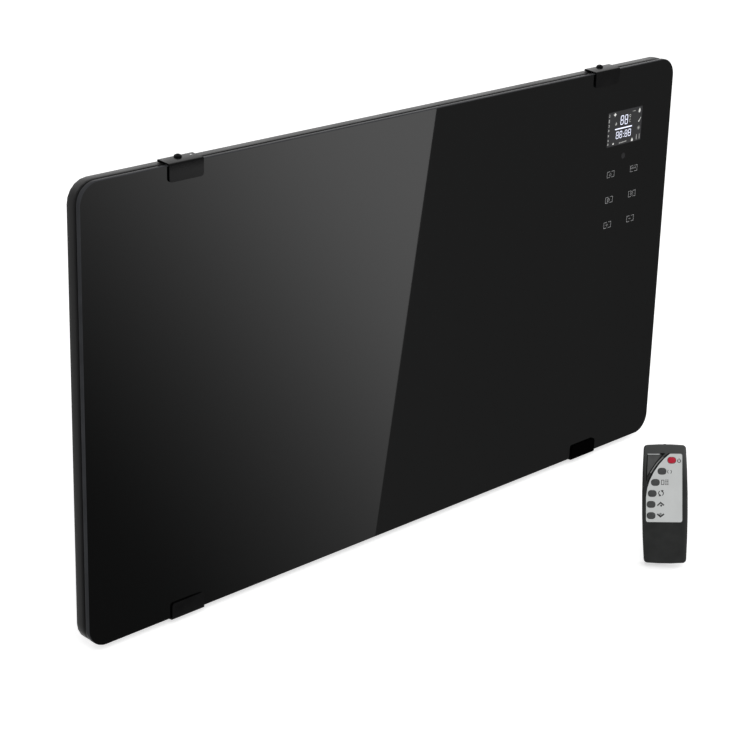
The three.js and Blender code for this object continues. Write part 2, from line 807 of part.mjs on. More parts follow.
// A square body with a round lens towards the glass
function receiverBlock() {
  const shape = rectangle(controlX - receiver.bodyWidth / 2, controlX + receiver.bodyWidth / 2,
    receiverZ - receiver.bodyHeight / 2, receiverZ + receiver.bodyHeight / 2);
  const body = slab(shape, behindGlassY + receiver.radius / 2, behindGlassDepth - receiver.radius / 2);
  const lens = bar('y', [controlX, behindGlassY, receiverZ], behindGlassDepth / 2, receiver.radius);
  return join([body, lens]);
}

// Six cones on a thin sheet carry the touch of a finger from the glass to the board
function touchPads() {
  const halfWidth = touchKey.columnPitch / 2 + touchKey.padRadius;
  const sheet = rectangle(controlX - halfWidth, controlX + halfWidth,
    lastKeyZ - touchKey.padRadius, firstKeyZ + touchKey.padRadius);
  const bodies = [slab(sheet, touchBoardY - seat - touchKey.sheet, touchKey.sheet)];
  for (let row = 0; row < touchKey.rows; row += 1) {
    for (const side of [-1, 1]) {
      const x = controlX + side * touchKey.columnPitch / 2;
      const place = [x, behindGlassY, firstKeyZ - row * touchKey.rowPitch];
      bodies.push(turned('y', place, [
        [0, 0], [touchKey.padRadius, 0], [touchKey.padNeck, behindGlassDepth], [0, behindGlassDepth],
      ], smallSides));
    }
  }
  return join(bodies);
}

// Heating elements: extruded aluminium with four ribbed arms round a tubular rod

const partitionX = coverInnerX - powerBoard.wallGap - powerBoard.width - partition.boardGap;
const bracketRightX = partitionX - partition.bracketGap;
const bracketLeftX = -coverInnerX + elementBracket.leftInset;
const insulatorSpan = insulator.thickness + 2 * seat;
const elementLeftX = bracketLeftX + elementBracket.sheet + insulatorSpan;
const elementRightX = bracketRightX - insulatorSpan;
const elementY = coverInnerY - reflector.standOff - element.reflectorGap;
const elementLevels = [element.pitch / 2, -element.pitch / 2];

// One arm's outline: out along its lower side, round the tip and back, with ribs on both sides
function armOutline(angle) {
  const { armLength, armThickness, ribStart, ribHeight, ribThickness, ribCount, hubRadius } = element;
  const half = armThickness / 2;
  const root = Math.sqrt(hubRadius ** 2 - half ** 2);
  const step = (armLength - ribStart - ribThickness / 2) / (ribCount - 1);
  const lower = [[root, -half]];
  for (let i = 0; i < ribCount; i += 1) {
    const from = ribStart + i * step - ribThickness / 2;
    const to = from + ribThickness;
    const height = half + ribHeight;
    lower.push([from, -half], [from, -height], [to, -height]);
    if (i < ribCount - 1) lower.push([to, -half]);
  }
  const upper = lower.map(([along, across]) => [along, -across]).reverse();
  return [...lower, ...upper].map(([along, across]) =>
    new THREE.Vector2(along, across).rotateAround(new THREE.Vector2(), angle));
}

function elementSection(z) {
  const lean = radians(element.armLeanDegrees);
  const angles = [1, 3].flatMap((turns) => [quarterTurns(turns) - lean, quarterTurns(turns) + lean]);
  const centre = new THREE.Vector2(elementY, z);
  const outline = [];
  angles.forEach((angle, i) => {
    outline.push(...armOutline(angle));
    const next = angles[(i + 1) % angles.length] + (i === angles.length - 1 ? quarterTurns(4) : 0);
    const halfAngle = Math.asin(element.armThickness / 2 / element.hubRadius);
    for (let k = 1; k < bendSteps; k += 1) {
      const turn = THREE.MathUtils.lerp(angle + halfAngle, next - halfAngle, k / bendSteps);
      outline.push(new THREE.Vector2(element.hubRadius, 0).rotateAround(new THREE.Vector2(), turn));
    }
  });
  const shape = new THREE.Shape(outline.map((point) => point.add(centre)));
  shape.holes.push(oval(elementY, z, rod.radius + seat, rod.radius + seat));
  return shape;
}

function heatingElement(z) {
  return runAlongX(elementSection(z), elementLeftX, elementRightX - elementLeftX);
}

const rodLeftX = bracketLeftX - rod.overhang;
const rodRightX = bracketRightX + elementBracket.sheet + rod.overhang;

// A sheathed rod that runs through both insulators and ends in a thin pin at either side
function heatingRod(z) {
  const length = rodRightX - rodLeftX;
  return turned('x', [rodLeftX, elementY, z], [
    [0, -rod.pinLength],
    [rod.pinRadius, -rod.pinLength],
    [rod.pinRadius, 0],
    [rod.radius, 0],
    [rod.radius, length],
    [rod.pinRadius, length],
    [rod.pinRadius, length + rod.pinLength],
    [0, length + rod.pinLength],
  ], smallSides);
}

// An insulating strip on the bracket's inner side, with a bored neck through the bracket for each rod
function endInsulator(plateX, side) {
  const { thickness, halfWidth, endMargin, neckRadius, neckLength } = insulator;
  const inner = side > 0 ? plateX - seat - thickness : plateX + elementBracket.sheet + seat;
  const halfHeight = element.pitch / 2 + neckRadius + endMargin;
  const strip = block(
    [inner, elementY - halfWidth, -halfHeight], [inner + thickness, elementY + halfWidth, halfHeight]);
  const neckStart = side > 0 ? inner : inner + thickness - neckLength;
  const necks = elementLevels.map((z) => bar('x', [neckStart, elementY, z], neckLength, neckRadius));
  const bores = elementLevels.map((z) => bar(
    'x', [neckStart - overrun, elementY, z], neckLength + 2 * overrun, rod.radius + seat));
  return cut(join([strip, ...necks]), bores);
}

// An angle plate that stands on the cover's back wall; its foot points away from the element
function endBracket(plateX, side) {
  const { sheet, footWidth, halfHeight, depth, bendRadius } = elementBracket;
  const radius = bendRadius + sheet / 2;
  const middle = plateX + sheet / 2;
  const section = foldedSheet([
    [middle + side * footWidth, coverInnerY - seat - sheet / 2],
    [middle, coverInnerY - seat - sheet / 2, radius],
    [middle, coverInnerY - seat - depth],
  ], sheet);
  const bores = elementLevels.map((z) => bar(
    'x', [plateX - overrun, elementY, z], sheet + 2 * overrun, insulator.neckRadius + seat));
  return cut(runAlongZ(section, -halfHeight, 2 * halfHeight), bores);
}

function heatReflector() {
  const { sheet, standOff, lip, lipRadius, endInset } = reflector;
  const rearY = coverInnerY - standOff;
  const half = elementBracket.halfHeight - endInset;
  const section = foldedSheet([
    [rearY - lip, half],
    [rearY, half, lipRadius],
    [rearY, -half, lipRadius],
    [rearY - lip, -half],
  ], sheet);
  const leftX = bracketLeftX + elementBracket.sheet + seat;
  return runAlongX(section, leftX, bracketRightX - seat - leftX);
}

function partitionPlate() {
  const { sheet, footWidth, depth, bendRadius, endGap, wireHoleRadius } = partition;
  const middle = partitionX + sheet / 2;
  const section = foldedSheet([
    [middle + footWidth, coverInnerY - seat - sheet / 2],
    [middle, coverInnerY - seat - sheet / 2, bendRadius + sheet / 2],
    [middle, coverInnerY - seat - depth],
  ], sheet);
  const halfHeight = coverInnerZ - cover.rearFillet - endGap;
  const bores = elementLevels.map((z) => bar(
    'x', [partitionX - overrun, elementY, z], sheet + 2 * overrun, wireHoleRadius));
  return cut(runAlongZ(section, -halfHeight, 2 * halfHeight), bores);
}

// A disc thermostat on the right end bracket, midway between the elements
function thermalCutout() {
  const { radius, height, flangeWidth, flangeHeight, flangeThickness } = cutout;
  const { tabLength, tabWidth, tabThickness } = cutout;
  const x = bracketRightX + elementBracket.sheet + seat;
  const top = x + flangeThickness + height;
  const tabs = [-1, 1].map((side) => block(
    [top - overrun, elementY - tabWidth / 2, side * radius / 2 - tabThickness / 2],
    [top + tabLength, elementY + tabWidth / 2, side * radius / 2 + tabThickness / 2]));
  return join([
    block([x, elementY - flangeHeight / 2, -flangeWidth / 2],
      [x + flangeThickness, elementY + flangeHeight / 2, flangeWidth / 2]),
    bar('x', [x, elementY, 0], flangeThickness + height, radius),
    ...tabs,
  ]);
}

// A small capsule held against the partition, close to the lower slots
function roomSensor() {
  const { radius, length, drop } = sensor;
  const foot = [partitionX - seat - radius, elementY, -coverInnerZ + drop];
  const profile = [[0, 0], [radius / 2, 0], [radius, radius / 2], [radius, length], [0, length]];
  return turned('z', foot, profile, smallSides);
}

// Power electronics on the cover's back wall

const boardRightX = coverInnerX - powerBoard.wallGap;
const boardLeftX = boardRightX - powerBoard.width;
const boardRearY = coverInnerY - powerBoard.standOff;
const boardFrontY = boardRearY - powerBoard.thickness;
const boardFootZ = powerBoard.middleZ - powerBoard.height / 2;
const boardTopZ = boardFootZ + powerBoard.height;
const standoffPlaces = [boardLeftX, boardRightX].flatMap((x, i) => [boardFootZ, boardTopZ]
  .map((z, j) => [x + (i ? -1 : 1) * powerBoard.inset, z + (j ? -1 : 1) * powerBoard.inset]));

function powerCircuitBoard() {
  const { thickness } = powerBoard;
  const plate = slab(rectangle(boardLeftX, boardRightX, boardFootZ, boardTopZ), boardFrontY, thickness);
  return cut(plate, standoffPlaces.map(([x, z]) => bar(
    'y', [x, boardFrontY - overrun, z], thickness + 2 * overrun, standoff.neckRadius + seat, smallSides)));
}

// A moulded frame on the wall; its four posts go through the board and snap over it
function boardFrame() {
  const { radius, neckRadius, headRadius, headHeight, frameWidth, frameThickness } = standoff;
  const foot = powerBoard.standOff - 2 * seat;
  const neckEnd = foot + 2 * seat + powerBoard.thickness;
  const frame = rectangle(boardLeftX, boardRightX, boardFootZ, boardTopZ);
  frame.holes = [rectangle(boardLeftX + frameWidth, boardRightX - frameWidth,
    boardFootZ + frameWidth, boardTopZ - frameWidth)];
  return join([
    slab(frame, coverInnerY - seat - frameThickness, frameThickness),
    ...standoffPlaces.map(([x, z]) => turned('y', [x, coverInnerY - seat, z], [
      [0, 0], [radius, 0], [radius, -foot], [neckRadius, -foot], [neckRadius, -neckEnd],
      [headRadius, -neckEnd], [headRadius, -neckEnd - headHeight], [0, -neckEnd - headHeight],
    ], smallSides)),
  ]);
}

const relayX = boardLeftX + 2 * powerBoard.inset + relay.width / 2;
const relayTopZ = boardTopZ - 2 * powerBoard.inset;

function powerRelay(i) {
  const frontY = boardFrontY - seat - relay.depth;
  const z = relayTopZ - relay.height / 2 - i * relay.pitch;
  const halfWidth = relay.width / 2;
  return slab(rectangle(relayX - halfWidth, relayX + halfWidth, z - relay.height / 2, z + relay.height / 2),
    frontY, relay.depth);
}

const transformerX = boardRightX - powerBoard.inset - transformer.width / 2;
const transformerZ = boardFootZ + 2 * powerBoard.inset + transformer.height / 2;

// Laminated core with the bobbin standing out at both sides
function mainsTransformer() {
  const { width, height, depth, coreInset, bobbinInset } = transformer;
  const frontY = boardFrontY - seat - depth;
  const core = rectangle(transformerX - width / 2 + coreInset, transformerX + width / 2 - coreInset,
    transformerZ - height / 2, transformerZ + height / 2);
  const bobbin = roundedRectangle(transformerX - width / 2, transformerX + width / 2,
    transformerZ - height / 2 + bobbinInset, transformerZ + height / 2 - bobbinInset, bobbinInset / 2);
  return join([slab(core, frontY, depth), slab(bobbin, frontY + bobbinInset, depth - 2 * bobbinInset)]);
}

const blockFootZ = -coverInnerZ + terminalBlock.endGap;

function screwTerminals() {
  const { width, height, depth, ways, wellRadius, wellDepth } = terminalBlock;
  const frontY = coverInnerY - seat - depth;
  const body = slab(
    rectangle(glandX - width / 2, glandX + width / 2, blockFootZ, blockFootZ + height), frontY, depth);
  const wells = Array.from({ length: ways }, (_, i) => bar('y',
    [glandX + (i - (ways - 1) / 2) * width / ways, frontY - overrun, blockFootZ + height / 2],
    wellDepth + overrun, wellRadius, smallSides));
  return cut(body, wells);
}

// Leads
function leadAlong(points, radius = lead.radius) {
  const path = new THREE.CatmullRomCurve3(points.map((point) => new THREE.Vector3(...point)));
  const section = new THREE.Shape().absarc(0, 0, radius, 0, quarterTurns(4));
  return facingOut(new THREE.ExtrudeGeometry(section, {
    steps: lead.steps, curveSegments: lead.sides / 2, bevelEnabled: false, extrudePath: path,
  }));
}

const landY = boardFrontY - seat;

// From a rod's pin through the partition to the power board
function elementLead(z) {
  const landZ = powerBoard.middleZ + Math.sign(z) * powerBoard.height * lead.landShare;
  const landX = boardLeftX + powerBoard.inset;
  return leadAlong([
    [rodRightX + rod.pinLength + seat, elementY, z],
    [partitionX + lead.bow / 2, elementY, z],
    [landX, landY - lead.bow * 3 / 2, landZ],
    [landX, landY, landZ],
  ]);
}

// From the upper rod's pin to the lower one's, at the left end
function jumperLead() {
  const pinX = rodLeftX - rod.pinLength - seat;
  const [high, low] = elementLevels;
  return leadAlong([
    [pinX, elementY, high],
    [pinX - lead.bow / 2, elementY, high],
    [pinX - lead.bow, elementY, high - lead.bow],
    [pinX - lead.bow, elementY, low + lead.bow],
    [pinX - lead.bow / 2, elementY, low],
    [pinX, elementY, low],
  ]);
}

// A sheathed lead from the terminals up to the power board
function mainsLead() {
  const foot = blockFootZ + terminalBlock.height + seat;
  const footY = coverInnerY - seat - terminalBlock.depth / 2;
  const landZ = boardFootZ + powerBoard.inset;
  return leadAlong([
    [glandX, footY, foot],
    [glandX, footY, foot + lead.bow],
    [glandX, landY - lead.bow, boardFootZ - lead.bow],
    [glandX, landY - lead.bow, landZ],
    [glandX, landY, landZ],
  ], lead.mainsRadius);
}

// A flat ribbon from the touch board back and down to the power board, above the transformer
function ribbonLead() {
  const { width, thickness, drop, bendRadius, endInset, straight, clearance } = ribbon;
  const fromY = touchBoardY + touchBoard.thickness + seat;
  const toY = boardFrontY - seat;
  const topZ = controlFoot + endInset;
  const lowZ = Math.max(topZ - drop, transformerZ + transformer.height / 2 + clearance);
  const section = foldedSheet([
    [fromY, topZ],
    [fromY + straight, topZ, bendRadius],
    [toY - straight, lowZ, bendRadius],
    [toY, lowZ],
  ], thickness);
  const leftX = controlX - touchBoard.halfWidth + endInset / 2;
  return runAlongX(section, leftX, width);
}

// Cable bush in the bottom wall, and the switch in the right wall

// The wall sits in the groove between the outer collar and the inner barb
function cableBush() {
  const { boreRadius, neckRadius, flangeRadius, flangeThickness } = gland;
  const { tailLength, tailRadius, barbRadius, barbLength } = gland;
  const groove = cover.sheet + 2 * seat;
  const top = groove + barbLength;
  return turned('z', [glandX, glandY, -coverBox.halfHeight - seat], [
    [boreRadius, -tailLength],
    [tailRadius, -tailLength],
    [tailRadius, -flangeThickness],
    [flangeRadius, -flangeThickness],
    [flangeRadius, 0],
    [neckRadius, 0],
    [neckRadius, groove],
    [barbRadius, groove],
    [neckRadius, top],
    [boreRadius, top],
    [boreRadius, -tailLength],
  ], roundSides);
}

const rockerTilt = radians(rocker.tiltDegrees);
const rockerCentreRise = (rocker.pivotDepth + rocker.edgeRise) / Math.cos(rockerTilt);
const rockerEndRise = rockerCentreRise + rocker.halfLength * Math.tan(rockerTilt);
const rockerReach = rocker.halfLength * Math.cos(rockerTilt) + rockerEndRise * Math.sin(rockerTilt);
const rockerY = glandY;
const rockerZ = panelHeight / 2 - rocker.drop;
const cavityHalfLength = rockerReach + runningGap;
const cavityHalfWidth = rocker.halfWidth + runningGap;
const frameHalfLength = cavityHalfLength + rocker.frameWall;
const frameHalfWidth = cavityHalfWidth + rocker.frameWall;
const rockerPivotX = coverBox.halfWidth + seat + rocker.flangeThickness - rocker.pivotDepth;

function switchFrame() {
  const { flangeMargin, flangeThickness, bodyDepth } = rocker;
  const outerX = coverBox.halfWidth + seat;
  const boxAt = (fromX, toX, halfWidth, halfLength) => block(
    [fromX, rockerY - halfWidth, rockerZ - halfLength], [toX, rockerY + halfWidth, rockerZ + halfLength]);
  const flange = boxAt(
    outerX, outerX + flangeThickness, frameHalfWidth + flangeMargin, frameHalfLength + flangeMargin);
  const body = boxAt(outerX - bodyDepth, outerX + flangeThickness, frameHalfWidth, frameHalfLength);
  const cavityFloor = rockerPivotX - Math.hypot(rocker.underDepth, rocker.halfLength) - runningGap;
  const cavity = boxAt(cavityFloor, outerX + flangeThickness + overrun, cavityHalfWidth, cavityHalfLength);
  return cut(join([flange, body]), [cavity]);
}

// Two faces meet at a shallow angle over the pivot; drawn level, set tilted by its mesh
function rockerKey() {
  const { halfLength, halfWidth, underDepth } = rocker;
  const shape = new THREE.Shape([
    [rockerCentreRise, 0], [rockerEndRise, halfLength], [-underDepth / 2, halfLength],
    [-underDepth, halfLength / 2], [-underDepth, -halfLength / 2], [-underDepth / 2, -halfLength],
    [rockerEndRise, -halfLength],
  ].map(([x, z]) => new THREE.Vector2(x, z)));
  return slab(shape, -halfWidth, 2 * halfWidth);
}

// Handset, drawn standing on the origin with its face towards -y

const shellFrontY = -handsetThickness / 2;
const shellRearY = handsetThickness / 2;
const splitY = shellFrontY + shell.splitDepth;
const handsetMiddleZ = handsetHeight / 2;

// A rounded rectangle whose sides and ends are drawn out into shallow arcs
function handsetRing(inset, y) {
  const halfWidth = handsetWidth / 2 - shell.sideBulge - inset;
  const halfHeight = handsetHeight / 2 - shell.endBulge - inset;
  const radius = shell.cornerRadius - inset;
  const flat = [];
  const corners = [[1, 1], [-1, 1], [-1, -1], [1, -1]];
  corners.forEach(([sideX, sideZ], corner) => {
    const centre = [sideX * (halfWidth - radius), sideZ * (halfHeight - radius)];
    for (let k = 0; k <= shell.cornerSteps; k += 1) {
      const angle = quarterTurns(corner + k / shell.cornerSteps);
      flat.push([centre[0] + radius * Math.cos(angle), centre[1] + radius * Math.sin(angle)]);
    }
    const [nextX, nextZ] = corners[(corner + 1) % corners.length];
    const from = flat[flat.length - 1];
    const startAngle = quarterTurns(corner + 1);
    const to = [nextX * (halfWidth - radius) + radius * Math.cos(startAngle),
      nextZ * (halfHeight - radius) + radius * Math.sin(startAngle)];
    const steps = corner % 2 ? shell.sideSteps : shell.endSteps;
    for (let k = 1; k < steps; k += 1) {
      flat.push(from.map((value, i) => THREE.MathUtils.lerp(value, to[i], k / steps)));
    }
  });
  return flat.map(([x, z]) => new THREE.Vector3(
    x + shell.sideBulge * (1 - (z / halfHeight) ** 2) * x / halfWidth,
    y,
    z + shell.endBulge * (1 - (x / halfWidth) ** 2) * z / halfHeight + handsetMiddleZ));
}

// One moulded half: a dish with a rounded edge, open at the split
function shellHalf(faceY, rimY) {
  const inward = Math.sign(rimY - faceY);
  const { wall, edgeRadius } = shell;
  const edge = (radius) => Array.from({ length: bendSteps + 1 }, (_, k) => {
    const angle = quarterTurns(k / bendSteps);
    return [edgeRadius - radius * Math.sin(angle), faceY + inward * (edgeRadius - radius * Math.cos(angle))];
  });
  const profile = [...edge(edgeRadius), [0, rimY], [wall, rimY], ...edge(edgeRadius - wall).reverse()];
  return loft(profile.map(([inset, y]) => handsetRing(inset, y)));
}

const keyOutline = {
  halfWidth: handsetKey.halfWidth, halfHeight: handsetKey.halfHeight, radius: handsetKey.cornerRadius,
};

function keyHole(x, z, margin) {
  const halfWidth = handsetKey.halfWidth + margin;
  const halfHeight = handsetKey.halfHeight + margin;
  const radius = handsetKey.cornerRadius + margin;
  return roundedRectangle(x - halfWidth, x + halfWidth, z - halfHeight, z + halfHeight, radius);
}

// The label's outline, drawn in by a margin
function labelShape(margin) {
  const { left, right, bottom, top, cornerRadius, cutTop, cutSide, handles } = label;
  const radius = cornerRadius - margin;
  const [low, high, near, far] = [bottom + margin, top - margin, left + margin, right - margin];
  const shape = new THREE.Shape();
  shape.moveTo(near + radius, low);
  shape.absarc(far - radius, low + radius, radius, -quarterTurns(1), 0);
  shape.absarc(far - radius, high - radius, radius, 0, quarterTurns(1));
  shape.lineTo(cutTop + margin, high);
  shape.bezierCurveTo(...handles.flatMap(([x, z]) => [x + margin, z]), near, cutSide);
  shape.lineTo(near, low + radius);
  shape.absarc(near + radius, low + radius, radius, quarterTurns(2), quarterTurns(3));
  return shape;
}

function facetShape() {
  const { left, right, bottom, top, handle } = facet;
  const shape = new THREE.Shape();
  shape.moveTo(left, bottom);
  shape.quadraticCurveTo(...handle, right, top);
  shape.lineTo(left, top);
  return shape;
}

const lampY = splitY - lamp.splitGap;

function frontShell() {
  const recess = label.thickness + seat;
  const depth = shell.wall + 2 * overrun;
  const cutters = keyPlaces.map(([, x, z]) => slab(keyHole(x, z, runningGap), shellFrontY - overrun, depth));
  cutters.push(slab(labelShape(-seat), shellFrontY - overrun, recess + overrun, label.cutSteps));
  cutters.push(slab(facetShape(), shellFrontY - overrun, facet.depth + overrun, label.cutSteps));
  const lampHole = [0, lampY, handsetHeight - shell.wall - overrun];
  cutters.push(bar('z', lampHole, shell.wall + 2 * overrun, lamp.radius + seat));
  return cut(shellHalf(shellFrontY, splitY), cutters);
}

function faceLabel() {
  const shape = labelShape(0);
  shape.holes = keyPlaces.map(([, x, z]) => new THREE.Path(keyHole(x, z, runningGap).getPoints(arcSteps)));
  return slab(shape, shellFrontY, label.thickness, label.cutSteps);
}

const keyFlangeY = shellFrontY + shell.wall + seat;

// A crowned cap with a flange that stops it behind the shell
function handsetKeyCap(x, z) {
  const { proud, crown, flange, flangeThickness, cornerSteps: steps } = handsetKey;
  const topY = shellFrontY - proud;
  const profile = [
    [-flange, keyFlangeY + flangeThickness],
    [-flange, keyFlangeY],
    [0, keyFlangeY],
    [0, topY + crown],
    [crown / 2, topY + crown / 2],
    [3 * crown, topY],
  ];
  return loft(profile.map(([inset, y]) => ringAt(keyOutline, inset, y, steps))).translate(x, 0, z);
}

const matY = keyFlangeY + handsetKey.flangeThickness + handsetKey.travel + seat;
const handsetBoardY = matY + keyMat.thickness + seat;
const batteryFloorY = handsetBoardY + handsetBoard.thickness + seat;
const batteryY = batteryFloorY + battery.floor + seat + battery.radius;
const batteryX = battery.radius + seat;
const wellHalfWidth = 2 * batteryX + batteryDoor.sideRoom;
const batteryLength = battery.length + battery.capHeight;
const wellFootZ = battery.foot - 2 * seat - contact.thickness;
const wellTopZ = battery.foot + batteryLength + 2 * seat + contact.thickness;
const lampTopZ = handsetHeight + lamp.proud;
const lampFlangeZ = handsetHeight - shell.wall - seat - lamp.flangeThickness;
const lampFootZ = lampFlangeZ - lamp.tailLength;

function contactMat() {
  const { left, right, bottom, top, thickness } = keyMat;
  return slab(rectangle(left, right, bottom, top), matY, thickness);
}

function handsetCircuitBoard() {
  const half = handsetWidth / 2 - shell.sideBulge - shell.wall - handsetBoard.sideGap;
  const foot = shell.wall + shell.endBulge + handsetBoard.endGap;
  return slab(rectangle(-half, half, foot, lampFootZ - seat), handsetBoardY, handsetBoard.thickness);
}

// The battery well is moulded into the rear half, with a ledge for its door
function rearShell() {
  const { margin, thickness, wall } = batteryDoor;
  const reach = margin + wall;
  const ledgeY = shellRearY - thickness - seat;
  const boxAt = (grow, fromY, toY) => block(
    [-wellHalfWidth - grow, fromY, wellFootZ - grow], [wellHalfWidth + grow, toY, wellTopZ + grow]);
  const body = join([shellHalf(shellRearY, splitY + seat), boxAt(reach, batteryFloorY, shellRearY)]);
  return cut(body, [
    boxAt(0, batteryFloorY + battery.floor, shellRearY + overrun),
    boxAt(margin, ledgeY, shellRearY + overrun),
  ]);
}

const doorFootZ = wellFootZ - batteryDoor.margin + seat;

// Turns on its lower outer edge; grip grooves cross it near the top
function batteryCover() {
  const { margin, thickness } = batteryDoor;
  const half = wellHalfWidth + margin - seat;
  const topZ = wellTopZ + margin - seat;
  const plate = slab(rectangle(-half, half, doorFootZ, topZ), shellRearY - thickness, thickness);
  const grooves = Array.from({ length: doorGrip.count }, (_, i) => {
    const z = topZ - doorGrip.drop - i * doorGrip.pitch;
    return block([-doorGrip.length / 2, shellRearY - doorGrip.depth, z - doorGrip.width / 2],
      [doorGrip.length / 2, shellRearY + overrun, z + doorGrip.width / 2]);
  });
  return cut(plate, grooves);
}

// A cell with its raised cap up, or turned over
function batteryCell(side) {
  const { radius, capRadius, length } = battery;
  const profile = [[0, 0], [radius, 0], [radius, length], [capRadius, length],
    [capRadius, batteryLength], [0, batteryLength]];
  const placed = side < 0 ? profile : profile.map(([r, along]) => [r, batteryLength - along]);
  return turned('z', [side * batteryX, batteryY, battery.foot], placed);
}

// The plate that joins the two cells at the top of the well
function batteryBridge() {
  const { thickness, width, depth } = contact;
  const halfWidth = batteryX + width / 2;
  const z = wellTopZ - seat - thickness;
  return block([-halfWidth, batteryY - depth / 2, z], [halfWidth, batteryY + depth / 2, z + thickness]);
}

function infraredLamp() {
  const { radius, flangeRadius, flangeThickness } = lamp;
  return turned('z', [0, lampY, 0], [
    [0, lampFootZ],
    [flangeRadius, lampFootZ],
    [flangeRadius, lampFlangeZ + flangeThickness],
    [radius, lampFlangeZ + flangeThickness],
    [radius, lampTopZ - radius / 2],
    [radius / 2, lampTopZ],
    [0, lampTopZ],
  ], smallSides);
}

function handsetGroup() {
  const group = new THREE.Group();
  group.add(
    piece('handset_front_shell', frontShell(), 'blackPlastic'),
    piece('handset_rear_shell', rearShell(), 'blackPlastic'),
    piece('handset_label', faceLabel(), 'greyPlastic'),
    ...keyPlaces.map(([name, x, z]) => piece(
      `${name}_key`, handsetKeyCap(x, z), name === 'power' ? 'redPlastic' : 'keyGrey')),
    piece('key_mat', contactMat(), 'blackRubber'),
    piece('handset_circuit_board', handsetCircuitBoard(), 'board'),
    piece('infrared_lamp', infraredLamp(), 'blackPlastic'),
    piece('battery_door', batteryCover(), 'blackPlastic'),
    piece('left_battery', batteryCell(-1), 'zincSteel'),
    piece('right_battery', batteryCell(1), 'zincSteel'),
    piece('battery_bridge', batteryBridge(), 'zincSteel'),
  );
  group.position.set(handsetPlace.x, handsetPlace.y, handsetPlace.z);
  const { lean, roll, turn } = handsetDegrees;
  group.rotation.set(radians(lean), radians(roll), radians(turn), 'ZXY');
  return group;
}

function heaterGroup() {
  const group = new THREE.Group();
  group.add(
    piece('glass_front_panel', glassPanel(), 'blackGlass'),
    piece('glass_seal', sealFrame(), 'blackRubber'),
    piece('front_tray', steelTray(), 'blackSteel'),
    ...clipCorners.flatMap(([name, sideX, sideZ]) => {
      const place = { x: sideX * clipX, z: sideZ * panelHeight / 2, turnY: sideZ < 0 ? Math.PI : 0 };
      return [
        piece(`clip_${name}`, sheetClip(), 'clipSteel', place),
        piece(`clip_screw_${name}`, clipScrewBody(), 'clipSteel', place),
      ];
    }),
    piece('rear_cover', rearCover(), 'blackSteel'),
    piece('board_carrier', boardCarrier(), 'blackPlastic'),
    piece('touch_board', touchCircuitBoard(), 'board'),
    piece('display_module', displayModule(), 'displayGrey'),
    piece('infrared_receiver', receiverBlock(), 'blackPlastic'),
    piece('touch_pads', touchPads(), 'blackRubber'),
    piece('upper_heating_element', heatingElement(elementLevels[0]), 'aluminium'),
    piece('lower_heating_element', heatingElement(elementLevels[1]), 'aluminium'),
    piece('upper_heating_rod', heatingRod(elementLevels[0]), 'zincSteel'),
    piece('lower_heating_rod', heatingRod(elementLevels[1]), 'zincSteel'),
    piece('left_insulator', endInsulator(bracketLeftX, -1), 'ceramic'),
    piece('right_insulator', endInsulator(bracketRightX, 1), 'ceramic'),
    piece('left_element_bracket', endBracket(bracketLeftX, -1), 'zincSteel'),
    piece('right_element_bracket', endBracket(bracketRightX, 1), 'zincSteel'),
    piece('heat_reflector', heatReflector(), 'aluminium'),
    piece('partition_plate', partitionPlate(), 'zincSteel'),
    piece('thermal_cutout', thermalCutout(), 'ceramic'),
    piece('room_sensor', roomSensor(), 'blackPlastic'),
    piece('power_board', powerCircuitBoard(), 'board'),
    piece('board_frame', boardFrame(), 'blackPlastic'),
    ...Array.from({ length: relay.count }, (_, i) => piece(
      `power_relay_${i + 1}`, powerRelay(i), 'blackPlastic')),
    piece('mains_transformer', mainsTransformer(), 'zincSteel'),
    piece('terminal_block', screwTerminals(), 'ceramic'),
    piece('upper_element_lead', elementLead(elementLevels[0]), 'wire'),
    piece('lower_element_lead', elementLead(elementLevels[1]), 'wire'),
    piece('element_jumper', jumperLead(), 'wire'),
    piece('mains_lead', mainsLead(), 'blackRubber'),
    piece('ribbon_lead', ribbonLead(), 'greyPlastic'),
    piece('cable_bush', cableBush(), 'blackRubber'),
    piece('switch_frame', switchFrame(), 'blackPlastic'),
    piece('switch_rocker', rockerKey(), 'blackPlastic',
      { x: rockerPivotX, y: rockerY, z: rockerZ, turnY: -rockerTilt }),
    piece('wall_bracket', wallBracket(), 'blackSteel'),
  );
  return group;
}

const product = new THREE.Group();
product.add(heaterGroup(), handsetGroup());

export default product;
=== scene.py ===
import json
import math

import bpy
from mathutils import Matrix, Vector

